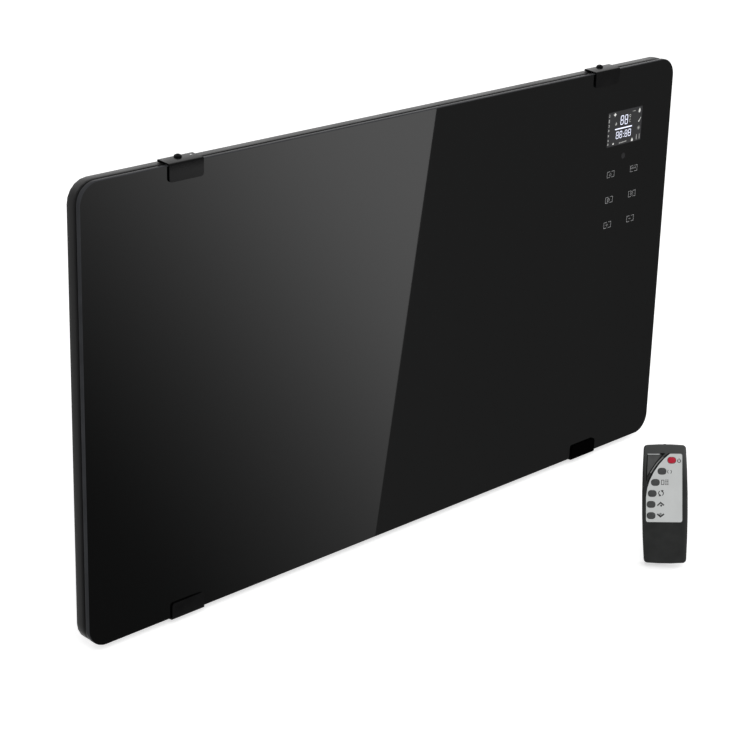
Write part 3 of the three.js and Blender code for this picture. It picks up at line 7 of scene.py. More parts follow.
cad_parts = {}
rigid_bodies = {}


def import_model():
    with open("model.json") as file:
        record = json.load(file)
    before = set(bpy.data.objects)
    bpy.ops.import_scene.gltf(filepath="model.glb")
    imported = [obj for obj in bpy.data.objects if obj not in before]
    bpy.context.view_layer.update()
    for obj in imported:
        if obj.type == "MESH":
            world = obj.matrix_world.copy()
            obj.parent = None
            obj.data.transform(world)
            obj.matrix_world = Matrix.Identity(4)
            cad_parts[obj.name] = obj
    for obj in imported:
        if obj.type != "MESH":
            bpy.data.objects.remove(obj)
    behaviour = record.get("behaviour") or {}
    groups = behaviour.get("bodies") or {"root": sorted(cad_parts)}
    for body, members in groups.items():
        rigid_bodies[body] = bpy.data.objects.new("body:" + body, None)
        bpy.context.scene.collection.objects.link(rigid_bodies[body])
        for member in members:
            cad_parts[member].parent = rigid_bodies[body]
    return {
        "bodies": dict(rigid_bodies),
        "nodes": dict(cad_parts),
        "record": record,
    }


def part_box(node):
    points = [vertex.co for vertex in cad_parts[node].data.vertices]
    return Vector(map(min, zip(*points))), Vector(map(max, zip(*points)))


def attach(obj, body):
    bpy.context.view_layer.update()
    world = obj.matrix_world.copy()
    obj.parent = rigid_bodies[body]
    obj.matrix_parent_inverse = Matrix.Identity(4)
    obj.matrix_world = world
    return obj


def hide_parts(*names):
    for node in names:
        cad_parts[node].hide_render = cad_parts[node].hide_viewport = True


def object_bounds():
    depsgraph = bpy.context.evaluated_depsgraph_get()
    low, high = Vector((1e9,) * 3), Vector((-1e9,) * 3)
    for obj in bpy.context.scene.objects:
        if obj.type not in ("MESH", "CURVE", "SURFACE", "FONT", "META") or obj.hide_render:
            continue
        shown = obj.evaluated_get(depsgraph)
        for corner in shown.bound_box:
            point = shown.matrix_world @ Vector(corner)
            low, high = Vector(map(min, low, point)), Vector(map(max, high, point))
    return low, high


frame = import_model()
CAD_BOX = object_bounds()

bl_info = {
    "name": "Glass Panel Heater",
    "version": (1, 0, 0),
    "blender": (4, 5, 0),
    "location": "3D View > Sidebar > Heater",
    "description": "Finishes, small parts and stage of a wall-hung glass panel heater with "
                   "its handset",
    "category": "Object",
}

MM = 0.001

# The glass sheet, read from the frame.
GLASS_LOW, GLASS_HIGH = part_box("glass_front_panel")
GLASS_FRONT = GLASS_LOW.y
GLASS_REAR = GLASS_HIGH.y

# The handset's own axes: x to its right, y into it, z up from its foot.
HANDSET_FOOT = Vector((138.8, -319.1, -220.5)) * MM
HANDSET_TURN = (Matrix.Rotation(math.radians(-54.2), 4, "Z")
                @ Matrix.Rotation(math.radians(-23.7), 4, "X")
                @ Matrix.Rotation(math.radians(-4.7), 4, "Y"))
HANDSET_PLACE = Matrix.Translation(HANDSET_FOOT) @ HANDSET_TURN
# Where the handset's front face lies on its own y axis
HANDSET_FRONT = -0.010


# ---- Settings that a user would change ----

def length_setting(name, description, default, least, most=10.0):
    return bpy.props.FloatProperty(name=name, description=description, default=default, min=least,
                                   max=most, subtype="DISTANCE", unit="LENGTH")


def colour_setting(name, description, default):
    return bpy.props.FloatVectorProperty(name=name, description=description, default=default,
                                         size=3, min=0, max=1, subtype="COLOR")


def share_setting(name, description, default, most=1.0):
    return bpy.props.FloatProperty(name=name, description=description, default=default, min=0,
                                   max=most, subtype="FACTOR")


def tone_setting(name, description, default, most=255):
    return bpy.props.FloatProperty(name=name, description=description + ", of 255",
                                   default=default, min=0, max=most)


def power_setting(name, description, default):
    return bpy.props.FloatProperty(name=name, description=description, default=default, min=0,
                                   subtype="POWER", unit="POWER")


class HeaterStage(bpy.types.PropertyGroup):
    floor_colour: colour_setting("Floor colour", "Colour of the plain floor", (0.86, 0.86, 0.86))
    floor_lift: share_setting(
        "Floor lift", "Brightness that the floor adds where only the camera sees it", 0.6)
    ambient: share_setting("Ambient light", "Strength of the even light from all round", 0.55, 2.0)
    key_power: power_setting("Key lamp", "Power of the large lamp at the upper left", 52)
    fill_power: power_setting("Fill lamp", "Power of the soft lamp at the right", 22)
    card_distance: length_setting(
        "Card distance", "How far the reflected studio cards stand from the glass", 0.62, 0.1)
    room_tone: share_setting(
        "Room tone", "Brightness of the room in front, as glossy faces mirror it", 0.16)
    side_tone: share_setting(
        "Side tone", "Brightness of the room at the left, as glossy faces mirror it", 0.34)
    dark_tone: tone_setting("Dark tone", "Display tone that the dark card gives the glass", 29)
    darkest_tone: tone_setting(
        "Darkest tone", "Lowest display tone that the light card gives the glass", 15.5, 60)
    brightest_tone: tone_setting(
        "Brightest tone", "Display tone that the light card fades up to", 80.4)
    glass_base: share_setting(
        "Glass base", "Light that the glass returns without any card", 0.001, 0.1)


class HeaterControls(bpy.types.PropertyGroup):
    window_width: length_setting("Window width", "Width of the display's window", 0.0574, 0.02)
    window_height: length_setting(
        "Window height", "Height of the display's window", 0.0374, 0.02)
    ink_thickness: length_setting(
        "Ink thickness", "Thickness of each printed layer", 0.00004, 0.00001)
    line_width: length_setting(
        "Line width", "Width of the touch keys' printed lines", 0.00044, 0.0001)
    key_width: length_setting(
        "Key frame width", "Width of a touch key's printed frame", 0.0117, 0.002)
    key_height: length_setting(
        "Key frame height", "Height of a touch key's printed frame", 0.0063, 0.002)
    digit_colour: colour_setting(
        "Digit colour", "Light of the display's digits", (0.80, 0.83, 1.0))
    icon_colour: colour_setting(
        "Icon colour", "Light of the display's small marks", (0.64, 0.64, 0.62))
    ink_colour: colour_setting("Ink colour", "Grey ink of the touch keys", (0.34, 0.34, 0.345))


class HeaterFasteners(bpy.types.PropertyGroup):
    head_radius: length_setting("Head radius", "Radius of a rim screw's head", 0.0037, 0.001)
    head_height: length_setting("Head height", "Height of a rim screw's head", 0.0022, 0.0005)
    clip_head_radius: length_setting(
        "Clip screw radius", "Radius of a clip screw's head", 0.0033, 0.001)
    clip_head_height: length_setting(
        "Clip screw height", "Height of a clip screw's head", 0.0022, 0.0005)
    recess_width: length_setting(
        "Recess width", "Width of each arm of the cross recess", 0.0009, 0.0002)
    pad_thickness: length_setting(
        "Pad thickness", "Thickness of the rubber pad behind a clip's flap", 0.0005, 0.0002)
    rivet_radius: length_setting(
        "Rivet radius", "Radius of the small bright rivet on a left clip", 0.00115, 0.0003)


class HeaterFinishes(bpy.types.PropertyGroup):
    paint: colour_setting(
        "Paint", "Powder coat of the tray, cover, bracket and clips", (0.0105, 0.0105, 0.0108))
    plastic: colour_setting(
        "Handset plastic", "Moulded shells of the handset", (0.025, 0.026, 0.0255))
    label: colour_setting("Handset label", "Grey label of the handset", (0.60, 0.615, 0.61))
    red_key: colour_setting("Red key", "Silicone of the power key", (0.50, 0.008, 0.034))
    grey_key: colour_setting("Grey key", "Silicone of the other keys", (0.062, 0.064, 0.064))
    edge_radius: length_setting(
        "Edge radius", "Rounding of the edges of sheet and moulded parts", 0.0002, 0.00001,
        0.001)


class HeaterSettings(bpy.types.PropertyGroup):
    stage: bpy.props.PointerProperty(type=HeaterStage)
    controls: bpy.props.PointerProperty(type=HeaterControls)
    fasteners: bpy.props.PointerProperty(type=HeaterFasteners)
    finishes: bpy.props.PointerProperty(type=HeaterFinishes)


def settings():
    return bpy.context.scene.heater_looks


# ---- Node helpers ----

def feed(tree, node, links):
    """Joins or sets a node's sockets; a list goes into a socket that takes several links."""
    for name, value in links.items():
        socket = node.inputs[name]
        for source in value if isinstance(value, list) else [value]:
            if isinstance(source, bpy.types.NodeSocket):
                tree.links.new(source, socket)
            elif socket.type == "RGBA":
                socket.default_value = (*source[:3], 1)
            else:
                socket.default_value = source


def add_node(tree, kind, links=None, **values):
    """A node of a shader or geometry tree: values set its properties, links its sockets."""
    node = tree.nodes.new(kind)
    for name, value in values.items():
        setattr(node, name, value)
    feed(tree, node, links or {})
    return node


def maths(tree, operation, first, second=0.0, third=0.0):
    node = add_node(tree, "ShaderNodeMath", {0: first, 1: second, 2: third}, operation=operation)
    return node.outputs[0]


def vector_of(tree, **axes):
    return add_node(tree, "ShaderNodeCombineXYZ", axes).outputs[0]


def blank_material(name, kind="ShaderNodeBsdfPrincipled"):
    """A material of one shader: returns the material, its tree and that shader."""
    material = bpy.data.materials.new(name)
    material.use_nodes = True
    tree = material.node_tree
    tree.nodes.clear()
    shader = add_node(tree, kind)
    add_node(tree, "ShaderNodeOutputMaterial", {"Surface": shader.outputs[0]})
    return material, tree, shader


def object_vector(tree, stretch=(1, 1, 1), turn=0.0):
    place = add_node(tree, "ShaderNodeTexCoord")
    mapping = add_node(tree, "ShaderNodeMapping", {
        "Vector": place.outputs["Object"], "Scale": stretch, "Rotation": (0, 0, turn)})
    return mapping.outputs[0]


def noise(tree, vector, scale, detail=3.0):
    return add_node(tree, "ShaderNodeTexNoise", {
        "Vector": vector, "Scale": scale, "Detail": detail, "Roughness": 0.55}).outputs[0]


def between(tree, factor, low, high, start=0.3, end=0.7):
    return add_node(tree, "ShaderNodeMapRange", {
        "Value": factor, "From Min": start, "From Max": end, "To Min": low,
        "To Max": high}).outputs[0]


def mix_colour(tree, factor, first, second):
    """Mixes two colours; their sockets on the node are found by number, as its names repeat."""
    return add_node(tree, "ShaderNodeMix", {0: factor, 6: first, 7: second},
                    data_type="RGBA").outputs[2]


def bump(tree, height, distance):
    return add_node(tree, "ShaderNodeBump", {"Height": height, "Distance": distance}).outputs[0]


def shade(colour, factor):
    return tuple(min(1.0, c * factor) for c in colour)


def coated(name, colour, rough, metal=0.0, ior=1.5, cloud=35.0, grain=900.0, depth=0.00002,
           spread=0.22, stretch=(1, 1, 1), gloss=0.5):
    """A finish with cloudy colour, uneven gloss and a fine grain in its surface."""
    speckle, speckle_gain = 0.35, 1.6
    material, tree, shader = blank_material(name)
    vector = object_vector(tree, stretch)
    clouds, fine = noise(tree, vector, cloud), noise(tree, vector, grain, 2.0)
    tone = mix_colour(tree, between(tree, clouds, 0, 1), shade(colour, 1 - spread),
                      shade(colour, 1 + spread))
    tone = mix_colour(tree, between(tree, fine, 0, speckle), tone,
                      shade(colour, 1 + speckle_gain * spread))
    feed(tree, shader, {
        "Base Color": tone, "Roughness": between(tree, clouds, *rough), "Metallic": metal,
        "IOR": ior, "Specular IOR Level": gloss, "Normal": bump(tree, fine, depth)})
    return material


def lit(name, colour, strength):
    """A backlit mark: its light is a little uneven, as through a diffuser."""
    material, tree, shader = blank_material(name)
    dimmest = 0.65
    patch = between(tree, noise(tree, object_vector(tree), 420.0, 2.0), dimmest, 1.0)
    feed(tree, shader, {
        "Emission Color": mix_colour(tree, patch, (0, 0, 0), colour),
        "Emission Strength": strength, "Base Color": shade(colour, 0.1), "Roughness": 0.02})
    return material


# ---- Finishes ----

def backed_glass():
    """Toughened glass with black enamel fired on its rear, with faint wiping marks."""
    material, tree, shader = blank_material("enamelled_glass")
    wiped = noise(tree, object_vector(tree, (1, 1, 0.35)), 5.0, 1.0)
    tone = mix_colour(tree, between(tree, wiped, 0, 1), (0.0009, 0.0010, 0.0010),
                      (0.0013, 0.0014, 0.0014))
    feed(tree, shader, {
        "Base Color": tone, "Roughness": between(tree, wiped, 0.004, 0.016), "IOR": 1.5})
    return material


def smoked_window():
    """Dark backlit film of the display, with a soft cloudy glow and a fine grain."""
    material, tree, shader = blank_material("display_film")
    colour, vector = (0.0245, 0.0245, 0.0255), object_vector(tree)
    cells, glow = noise(tree, vector, 1500.0, 1.0), noise(tree, vector, 38.0, 1.0)
    tone = mix_colour(tree, between(tree, glow, 0, 1), shade(colour, 0.86), shade(colour, 1.12))
    tone = mix_colour(tree, between(tree, cells, 0, 0.3), tone, shade(colour, 0.6))
    feed(tree, shader, {"Emission Color": tone, "Emission Strength": 1.0,
                        "Base Color": (0.01, 0.01, 0.011), "Roughness": 0.02})
    return material


def circuit_finish():
    """Solder mask over copper tracks, with bare pads."""
    material, tree, shader = blank_material("solder_mask")
    vector = object_vector(tree)
    tracks = add_node(tree, "ShaderNodeTexBrick", {
        "Vector": object_vector(tree, (1, 1, 1), math.radians(90)), "Scale": 95.0,
        "Mortar Size": 0.06, "Color1": (0, 0, 0), "Color2": (0.25, 0.25, 0.25),
        "Mortar": (1, 1, 1)}, offset=0.37, squash=1.7, squash_frequency=3)
    pads = add_node(tree, "ShaderNodeTexVoronoi", {"Vector": vector, "Scale": 260.0})
    pad = between(tree, pads.outputs["Distance"], 1.0, 0.0, 0.16, 0.2)
    mask = mix_colour(tree, between(tree, noise(tree, vector, 60.0), 0, 1),
                      (0.010, 0.050, 0.026), (0.014, 0.070, 0.036))
    tone = mix_colour(tree, tracks.outputs["Color"], mask, (0.03, 0.13, 0.06))
    feed(tree, shader, {
        "Base Color": mix_colour(tree, pad, tone, (0.55, 0.52, 0.46)),
        "Roughness": between(tree, pad, 0.32, 0.25, 0.0, 1.0),
        "Normal": bump(tree, tracks.outputs["Fac"], 0.00003)})
    return material


def zinc_finish():
    """Zinc-plated sheet with a faint crystal pattern."""
    material, tree, shader = blank_material("zinc_plate")
    colour, vector = (0.46, 0.47, 0.49), object_vector(tree)
    crystals = add_node(tree, "ShaderNodeTexVoronoi", {"Vector": vector, "Scale": 120.0})
    tone = mix_colour(tree, crystals.outputs["Color"], shade(colour, 0.85), shade(colour, 1.1))
    feed(tree, shader, {
        "Base Color": tone, "Metallic": 1.0,
        "Roughness": between(tree, noise(tree, vector, 45.0), 0.28, 0.42),
        "Normal": bump(tree, noise(tree, vector, 700.0, 2.0), 0.00001)})
    return material


def build_finishes():
    looks = settings().finishes
    paint = tuple(looks.paint)
    return {
        "black_glass": backed_glass(),
        "painted_steel": coated("powder_coat", paint, (0.30, 0.42), ior=1.45, cloud=18.0,
                                grain=1100.0, depth=0.000018, spread=0.18),
        "clip_steel": coated("clip_coat", shade(paint, 0.5), (0.16, 0.24), ior=1.27, cloud=60.0,
                             grain=1500.0, depth=0.000006, spread=0.25),
        # a near-black copy of the clip coat for one clip: painted shade
        "shaded_clip_steel": coated("shaded_clip_coat", shade(paint, 0.04), (0.5, 0.62), ior=1.06,
                                  cloud=60.0, grain=1500.0, depth=0.000006, spread=0.25),
        "zinc_steel": zinc_finish(),
        "bare_aluminium": coated("extruded_aluminium", (0.62, 0.63, 0.64), (0.26, 0.4), metal=1.0,
                                 cloud=60.0, grain=500.0, depth=0.000012, spread=0.08,
                                 stretch=(0.04, 1, 1)),
        "black_plastic": coated("fine_black_plastic", (0.018, 0.018, 0.019), (0.42, 0.55),
                                cloud=50.0, grain=1400.0, depth=0.00002),
        "gloss_black_plastic": coated("gloss_black_plastic", (0.012, 0.012, 0.013), (0.12, 0.2),
                                      cloud=50.0, grain=600.0, depth=0.000003),
        "handset_plastic": handset_shell(tuple(looks.plastic)),
        "label_grey": coated("brushed_label", tuple(looks.label), (0.38, 0.5), ior=1.4,
                             cloud=60.0, grain=1800.0, depth=0.000004, spread=0.03),
        "key_red": coated("red_silicone", tuple(looks.red_key), (0.34, 0.46), cloud=260.0,
                          grain=2400.0, depth=0.00001, spread=0.14),
        "key_grey": coated("grey_silicone", tuple(looks.grey_key), (0.42, 0.55), cloud=260.0,
                           grain=2400.0, depth=0.00001, spread=0.16),
        "display_grey": coated("display_cell", (0.09, 0.095, 0.10), (0.2, 0.3), cloud=60.0,
                               grain=1800.0, depth=0.000003),
        "black_rubber": coated("black_rubber", (0.012, 0.012, 0.012), (0.62, 0.8), ior=1.4,
                               cloud=80.0, grain=1200.0, depth=0.00003),
        "ceramic": coated("glazed_ceramic", (0.72, 0.69, 0.62), (0.25, 0.4), cloud=70.0,
                          grain=900.0, depth=0.00001, spread=0.06),
        "circuit_board": circuit_finish(),
        "grey_plastic": coated("grey_plastic", (0.20, 0.205, 0.21), (0.4, 0.52), cloud=70.0,
                               grain=1500.0, depth=0.00002, spread=0.1),
        "lead_cover": coated("woven_lead_cover", (0.35, 0.33, 0.28), (0.6, 0.75), cloud=180.0,
                             grain=1900.0, depth=0.00006, spread=0.25),
        "screw": coated("blackened_screw", (0.006, 0.006, 0.0065), (0.38, 0.5), cloud=700.0,
                        grain=3000.0, depth=0.00001, spread=0.35, gloss=0.12),
        "rivet": coated("bright_rivet", (0.92, 0.92, 0.92), (0.16, 0.24), metal=1.0, cloud=900.0,
                        grain=4000.0, depth=0.000001, spread=0.04),
    }


def handset_shell(colour):
    """Grained plastic of the handset, painted paler towards its head as a painted sheen of the
    light that falls there.
    """
    material = coated("handset_shell", colour, (0.36, 0.46), ior=1.45, cloud=90.0, grain=2600.0,
                      depth=0.00002, spread=0.2, gloss=0.3)
    tree = material.node_tree
    shader = next(node for node in tree.nodes if node.type == "BSDF_PRINCIPLED")
    tone = shader.inputs["Base Color"].links[0].from_socket
    height = add_node(tree, "ShaderNodeSeparateXYZ", {
        0: add_node(tree, "ShaderNodeTexCoord").outputs["Object"]}).outputs["Z"]
    # painted sheen: the base colour grows paler towards the handset's head, standing in for the
    # light its top catches
    start, end = HANDSET_FOOT.z + 0.08, HANDSET_FOOT.z + 0.106
    painted_sheen = between(tree, height, 0.0, 1.0, start, end)
    feed(tree, shader, {"Base Color": mix_colour(tree, painted_sheen, tone, shade(colour, 2.6))})
    return material


# ---- Mesh helpers ----

def mesh_object(name, points, faces, *materials):
    """A mesh object in the scene."""
    mesh = bpy.data.meshes.new(name)
    mesh.from_pydata([tuple(p) for p in points], [], faces)
    for material in materials:
        mesh.materials.append(material)
    thing = bpy.data.objects.new(name, mesh)
    bpy.context.scene.collection.objects.link(thing)
    return thing


def ride_piece(piece, body):
    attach(piece, body)
    return piece


class Plates:
    """Collects thin closed plates that are drawn flat and stand on a plane."""

    def __init__(self, *plane):
        self.points, self.faces = [], []
        self.stand_on(*plane)

    def stand_on(self, origin, across=(1, 0, 0), up=(0, 0, 1), out=(0, -1, 0)):
        """across and up span the plane, out points away from it, origin is its zero point."""
        self.origin, self.across = Vector(origin), Vector(across)
        self.up, self.out = Vector(up), Vector(out)

    def place(self, u, v, depth):
        return self.origin + self.across * u + self.up * v + self.out * depth

    def plate(self, outline, low, high):
        """A prism on a simple outline given counter-clockwise as seen from outside."""
        first, count = len(self.points), len(outline)
        self.points += [self.place(u, v, high) for u, v in outline]
        self.points += [self.place(u, v, low) for u, v in outline]
        self.faces.append(tuple(range(first, first + count)))
        self.faces.append(tuple(range(first + 2 * count - 1, first + count - 1, -1)))
        for i in range(count):
            j = (i + 1) % count
            self.faces.append((first + i, first + count + i, first + count + j, first + j))

    def ribbon(self, path, width, low, high, closed=False):
        """A line of constant width along a path, mitred at its corners."""
        count, mitre_limit = len(path), 0.35
        left, right = [], []
        for i, (u, v) in enumerate(path):
            before = path[i - 1] if (i > 0 or closed) else None
            after = path[(i + 1) % count] if (i < count - 1 or closed) else None
            normals = []
            for a, b in ((before, (u, v)), ((u, v), after)):
                if a is not None and b is not None:
                    du, dv = b[0] - a[0], b[1] - a[1]
                    size = math.hypot(du, dv)
                    normals.append((-dv / size, du / size))
            nu = sum(n[0] for n in normals) / len(normals)
            nv = sum(n[1] for n in normals) / len(normals)
            half = width / 2 / max(nu * nu + nv * nv, mitre_limit)
            left.append((u + nu * half, v + nv * half))
            right.append((u - nu * half, v - nv * half))
        first = len(self.points)
        for side, depth in ((left, high), (right, high), (left, low), (right, low)):
            self.points += [self.place(u, v, depth) for u, v in side]
        lh, rh, ll, rl = (first + k * count for k in range(4))
        for i in range(count if closed else count - 1):
            j = (i + 1) % count
            self.faces += [(rh + i, rh + j, lh + j, lh + i), (ll + i, ll + j, rl + j, rl + i),
                           (lh + i, lh + j, ll + j, ll + i), (rl + i, rl + j, rh + j, rh + i)]
        if not closed:
            end = count - 1
            self.faces.append((lh, ll, rl, rh))
            self.faces.append((rh + end, rl + end, ll + end, lh + end))

    def pens(self, low, high):
        """A pen for lines and one for filled shapes, in millimetres on the plane."""
        def line(path, width, closed=False):
            self.ribbon([(u * MM, v * MM) for u, v in path], width * MM, low, high, closed)

        def fill(path):
            self.plate([(u * MM, v * MM) for u, v in path], low, high)

        return line, fill

    def piece(self, name, material, body, slot):
        piece = mesh_object(name, self.points, self.faces, material)
        piece.data.validate()
        return ride_piece(piece, body)


def arc(cu, cv, radius, start, end, steps):
    """Points of an arc from start to end, in degrees counter-clockwise."""
    return [(cu + radius * math.cos(math.radians(start + (end - start) * i / steps)),
             cv + radius * math.sin(math.radians(start + (end - start) * i / steps)))
            for i in range(steps + 1)]


def disc(cu, cv, radius, steps=24):
    return arc(cu, cv, radius, 0, 360, steps)[:-1]


def box_outline(u0, v0, u1, v1, corner=0.0, steps=3):
    if corner <= 0:
        return [(u0, v0), (u1, v0), (u1, v1), (u0, v1)]
    points = []
    for cu, cv, start in ((u1 - corner, v0 + corner, 270), (u1 - corner, v1 - corner, 0),
                          (u0 + corner, v1 - corner, 90), (u0 + corner, v0 + corner, 180)):
        points += arc(cu, cv, corner, start, start + 90, steps)
    return points


def seven_segments(plates, u, v, width, height, stroke, lean, low, high):
    """A display's digit with all its bars, leaning to the right, lower left corner at u, v."""
    gap, half, middle = stroke * 0.16, stroke / 2, height / 2
    bars = (((0, height), (width, height)), ((width, height), (width, middle)),
            ((width, middle), (width, 0)), ((0, 0), (width, 0)), ((0, 0), (0, middle)),
            ((0, middle), (0, height)), ((0, middle), (width, middle)))
    for (u0, v0), (u1, v1) in bars:
        length = math.hypot(u1 - u0, v1 - v0)
        du, dv = (u1 - u0) / length, (v1 - v0) / length
        start, end = gap, length - gap
        outline = []
        for along, side in ((start, 0), (start + half, -half), (end - half, -half), (end, 0),
                            (end - half, half), (start + half, half)):
            pu, pv = u0 + du * along - dv * side, v0 + dv * along + du * side
            outline.append((u + pu + lean * pv, v + pv))
        plates.plate(outline, low, high)


# ---- Geometry Nodes helpers ----

def geo(tree, kind, links=None, **values):
    """The main output of a new geometry node."""
    return add_node(tree, "GeometryNode" + kind, links, **values).outputs[0]


def geometry_tree(name, inputs):
    """A geometry tree with named inputs; returns the tree, its input node and its output node."""
    tree = bpy.data.node_groups.new(name, "GeometryNodeTree")
    tree.interface.new_socket("Geometry", in_out="INPUT", socket_type="NodeSocketGeometry")
    for label, value in inputs.items():
        socket = tree.interface.new_socket(label, in_out="INPUT", socket_type="NodeSocketFloat")
        socket.default_value = value
    tree.interface.new_socket("Geometry", in_out="OUTPUT", socket_type="NodeSocketGeometry")
    return tree, tree.nodes.new("NodeGroupInput"), tree.nodes.new("NodeGroupOutput")


def repeated_piece(name, tree, places, values, body):
    """Runs a geometry tree on a cloud of places and keeps the result as a plain mesh."""
    piece = mesh_object(name, places, [])
    cloud = piece.data
    modifier = piece.modifiers.new("Repeat", "NODES")
    modifier.node_group = tree
    for item in tree.interface.items_tree:
        if item.item_type == "SOCKET" and item.in_out == "INPUT" and item.name in values:
            modifier[item.identifier] = values[item.name]
    graph = bpy.context.evaluated_depsgraph_get()
    mesh = bpy.data.meshes.new_from_object(piece.evaluated_get(graph), depsgraph=graph)
    piece.modifiers.remove(modifier)
    piece.data = mesh
    mesh.name = name
    bpy.data.meshes.remove(cloud)
    if not mesh.polygons:
        raise RuntimeError(f"{name}: the geometry tree made no faces")
    return ride_piece(piece, body)


def softened(tree, geometry, limit):
    """Shades a mesh smooth but for its edges that fold by more than a limiting angle."""
    fold = geo(tree, "InputMeshEdgeAngle")
    crisp = add_node(tree, "FunctionNodeCompare", {0: fold, 1: limit}, operation="GREATER_THAN")
    return geo(tree, "SetShadeSmooth", {
        "Geometry": geo(tree, "SetShadeSmooth", {"Geometry": geometry}),
        "Selection": crisp.outputs[0], "Shade Smooth": False}, domain="EDGE")


def flat_ball(tree, radius, rise, segments, rings):
    """A ball that is flattened to a given height above its middle."""
    ball = geo(tree, "MeshUVSphere", {"Segments": segments, "Rings": rings, "Radius": radius})
    squash = vector_of(tree, X=1.0, Y=1.0, Z=maths(tree, "DIVIDE", rise, radius))
    return geo(tree, "Transform", {"Geometry": ball, "Scale": squash})


def spread_out(tree, given, shape, tilt=0.0):
    """Copies of a shape, tilted about x, on every point of the mesh that comes in."""
    points = geo(tree, "MeshToPoints", {"Mesh": given.outputs["Geometry"]})
    return geo(tree, "InstanceOnPoints", {
        "Points": points, "Instance": shape, "Rotation": vector_of(tree, X=tilt)})


def dress(tree, result, copies, material, limit):
    """Makes copies real, smooth up to a limiting angle, and gives them their material."""
    shape = softened(tree, geo(tree, "RealizeInstances", {"Geometry": copies}), limit)
    feed(tree, result, {0: geo(tree, "SetMaterial", {"Geometry": shape, "Material": material})})
    return tree


def screw_tree(name, material):
    """A screw with a domed head and a cross recess on every point."""
    tree, given, result = geometry_tree(name, {
        "Head Radius": 0.0037, "Head Height": 0.0022, "Recess Width": 0.0009,
        "Shank Radius": 0.0015, "Shank Length": 0.001, "Tilt": 0.0, "Turn": 0.3})
    radius, height = given.outputs["Head Radius"], given.outputs["Head Height"]
    width, length = given.outputs["Recess Width"], given.outputs["Shank Length"]

    def times(value, factor):
        return maths(tree, "MULTIPLY", value, factor)

    def cylinder(around, tall, middle):
        rod = geo(tree, "MeshCylinder", {"Vertices": 40, "Radius": around, "Depth": tall},
                  fill_type="NGON")
        return geo(tree, "Transform", {"Geometry": rod, "Translation": vector_of(tree, Z=middle)})

    broad, reach, deep = times(radius, 1.1), times(radius, 1.15), times(height, 1.1)
    wall = cylinder(radius, height, times(height, 0.5))
    dome = flat_ball(tree, broad, height, 40, 22)
    head = geo(tree, "MeshBoolean", {"Mesh 2": [wall, dome]}, operation="INTERSECT")
    bars = []
    for across, along in ((reach, width), (width, reach)):
        bar = geo(tree, "MeshCube", {"Size": vector_of(tree, X=across, Y=along, Z=deep)})
        bars.append(geo(tree, "Transform", {
            "Geometry": bar, "Translation": vector_of(tree, Z=height)}))
    cut = geo(tree, "MeshBoolean", {"Mesh 1": head, "Mesh 2": bars}, operation="DIFFERENCE")
    shank = cylinder(given.outputs["Shank Radius"], length, times(length, -0.49))
    whole = geo(tree, "JoinGeometry", {"Geometry": [cut, shank]})
    spin = maths(tree, "MULTIPLY_ADD", geo(tree, "InputIndex"), given.outputs["Turn"], 0.4)
    spun = geo(tree, "RotateInstances", {
        "Instances": spread_out(tree, given, whole, given.outputs["Tilt"]),
        "Rotation": vector_of(tree, Z=spin)})
    return dress(tree, result, spun, material, math.radians(30))


def rivet_tree(material):
    """A low dome on every point."""
    tree, given, result = geometry_tree("clip_rivet_domes", {"Radius": 0.001, "Rise": 0.0008})
    dome = flat_ball(tree, given.outputs["Radius"], given.outputs["Rise"], 24, 14)
    return dress(tree, result, spread_out(tree, given, dome), material, math.pi)


# ---- Operators ----

# The cards' seam: where it crosses the top of the glass, that height, and its slant
SEAM_X, SEAM_TOP, SEAM_SLANT = 0.0288, 0.2208, 0.155
# The part of the glass's plane whose mirror image the cards fill: x from and to, z from and to
CARD_LEFT, CARD_RIGHT, CARD_LOW, CARD_HIGH = -0.50, 0.62, -0.30, 0.30
# Display tone that the light card gives each place of the glass, and the share of light that
# the glass mirrors there, both as series in that place's x and z
LIGHT_TONE = {"1": 80.14, "x": 170.11, "z": 141.58, "xx": 54.1, "xz": 145.2, "zz": 77.86}
MIRRORED_SHARE = {"1": 0.05704, "x": 0.02856, "z": -0.01365, "xx": 0.01446}
# How softly the light card's tone meets its brightest and its darkest tone
BRIGHT_BLEND, DARK_BLEND = 45.71, 9.62
# From a display tone to light: (tone * scale + offset) ** gamma
TONE_SCALE, TONE_OFFSET, TONE_GAMMA = 1 / 269, 0.0521, 2.4


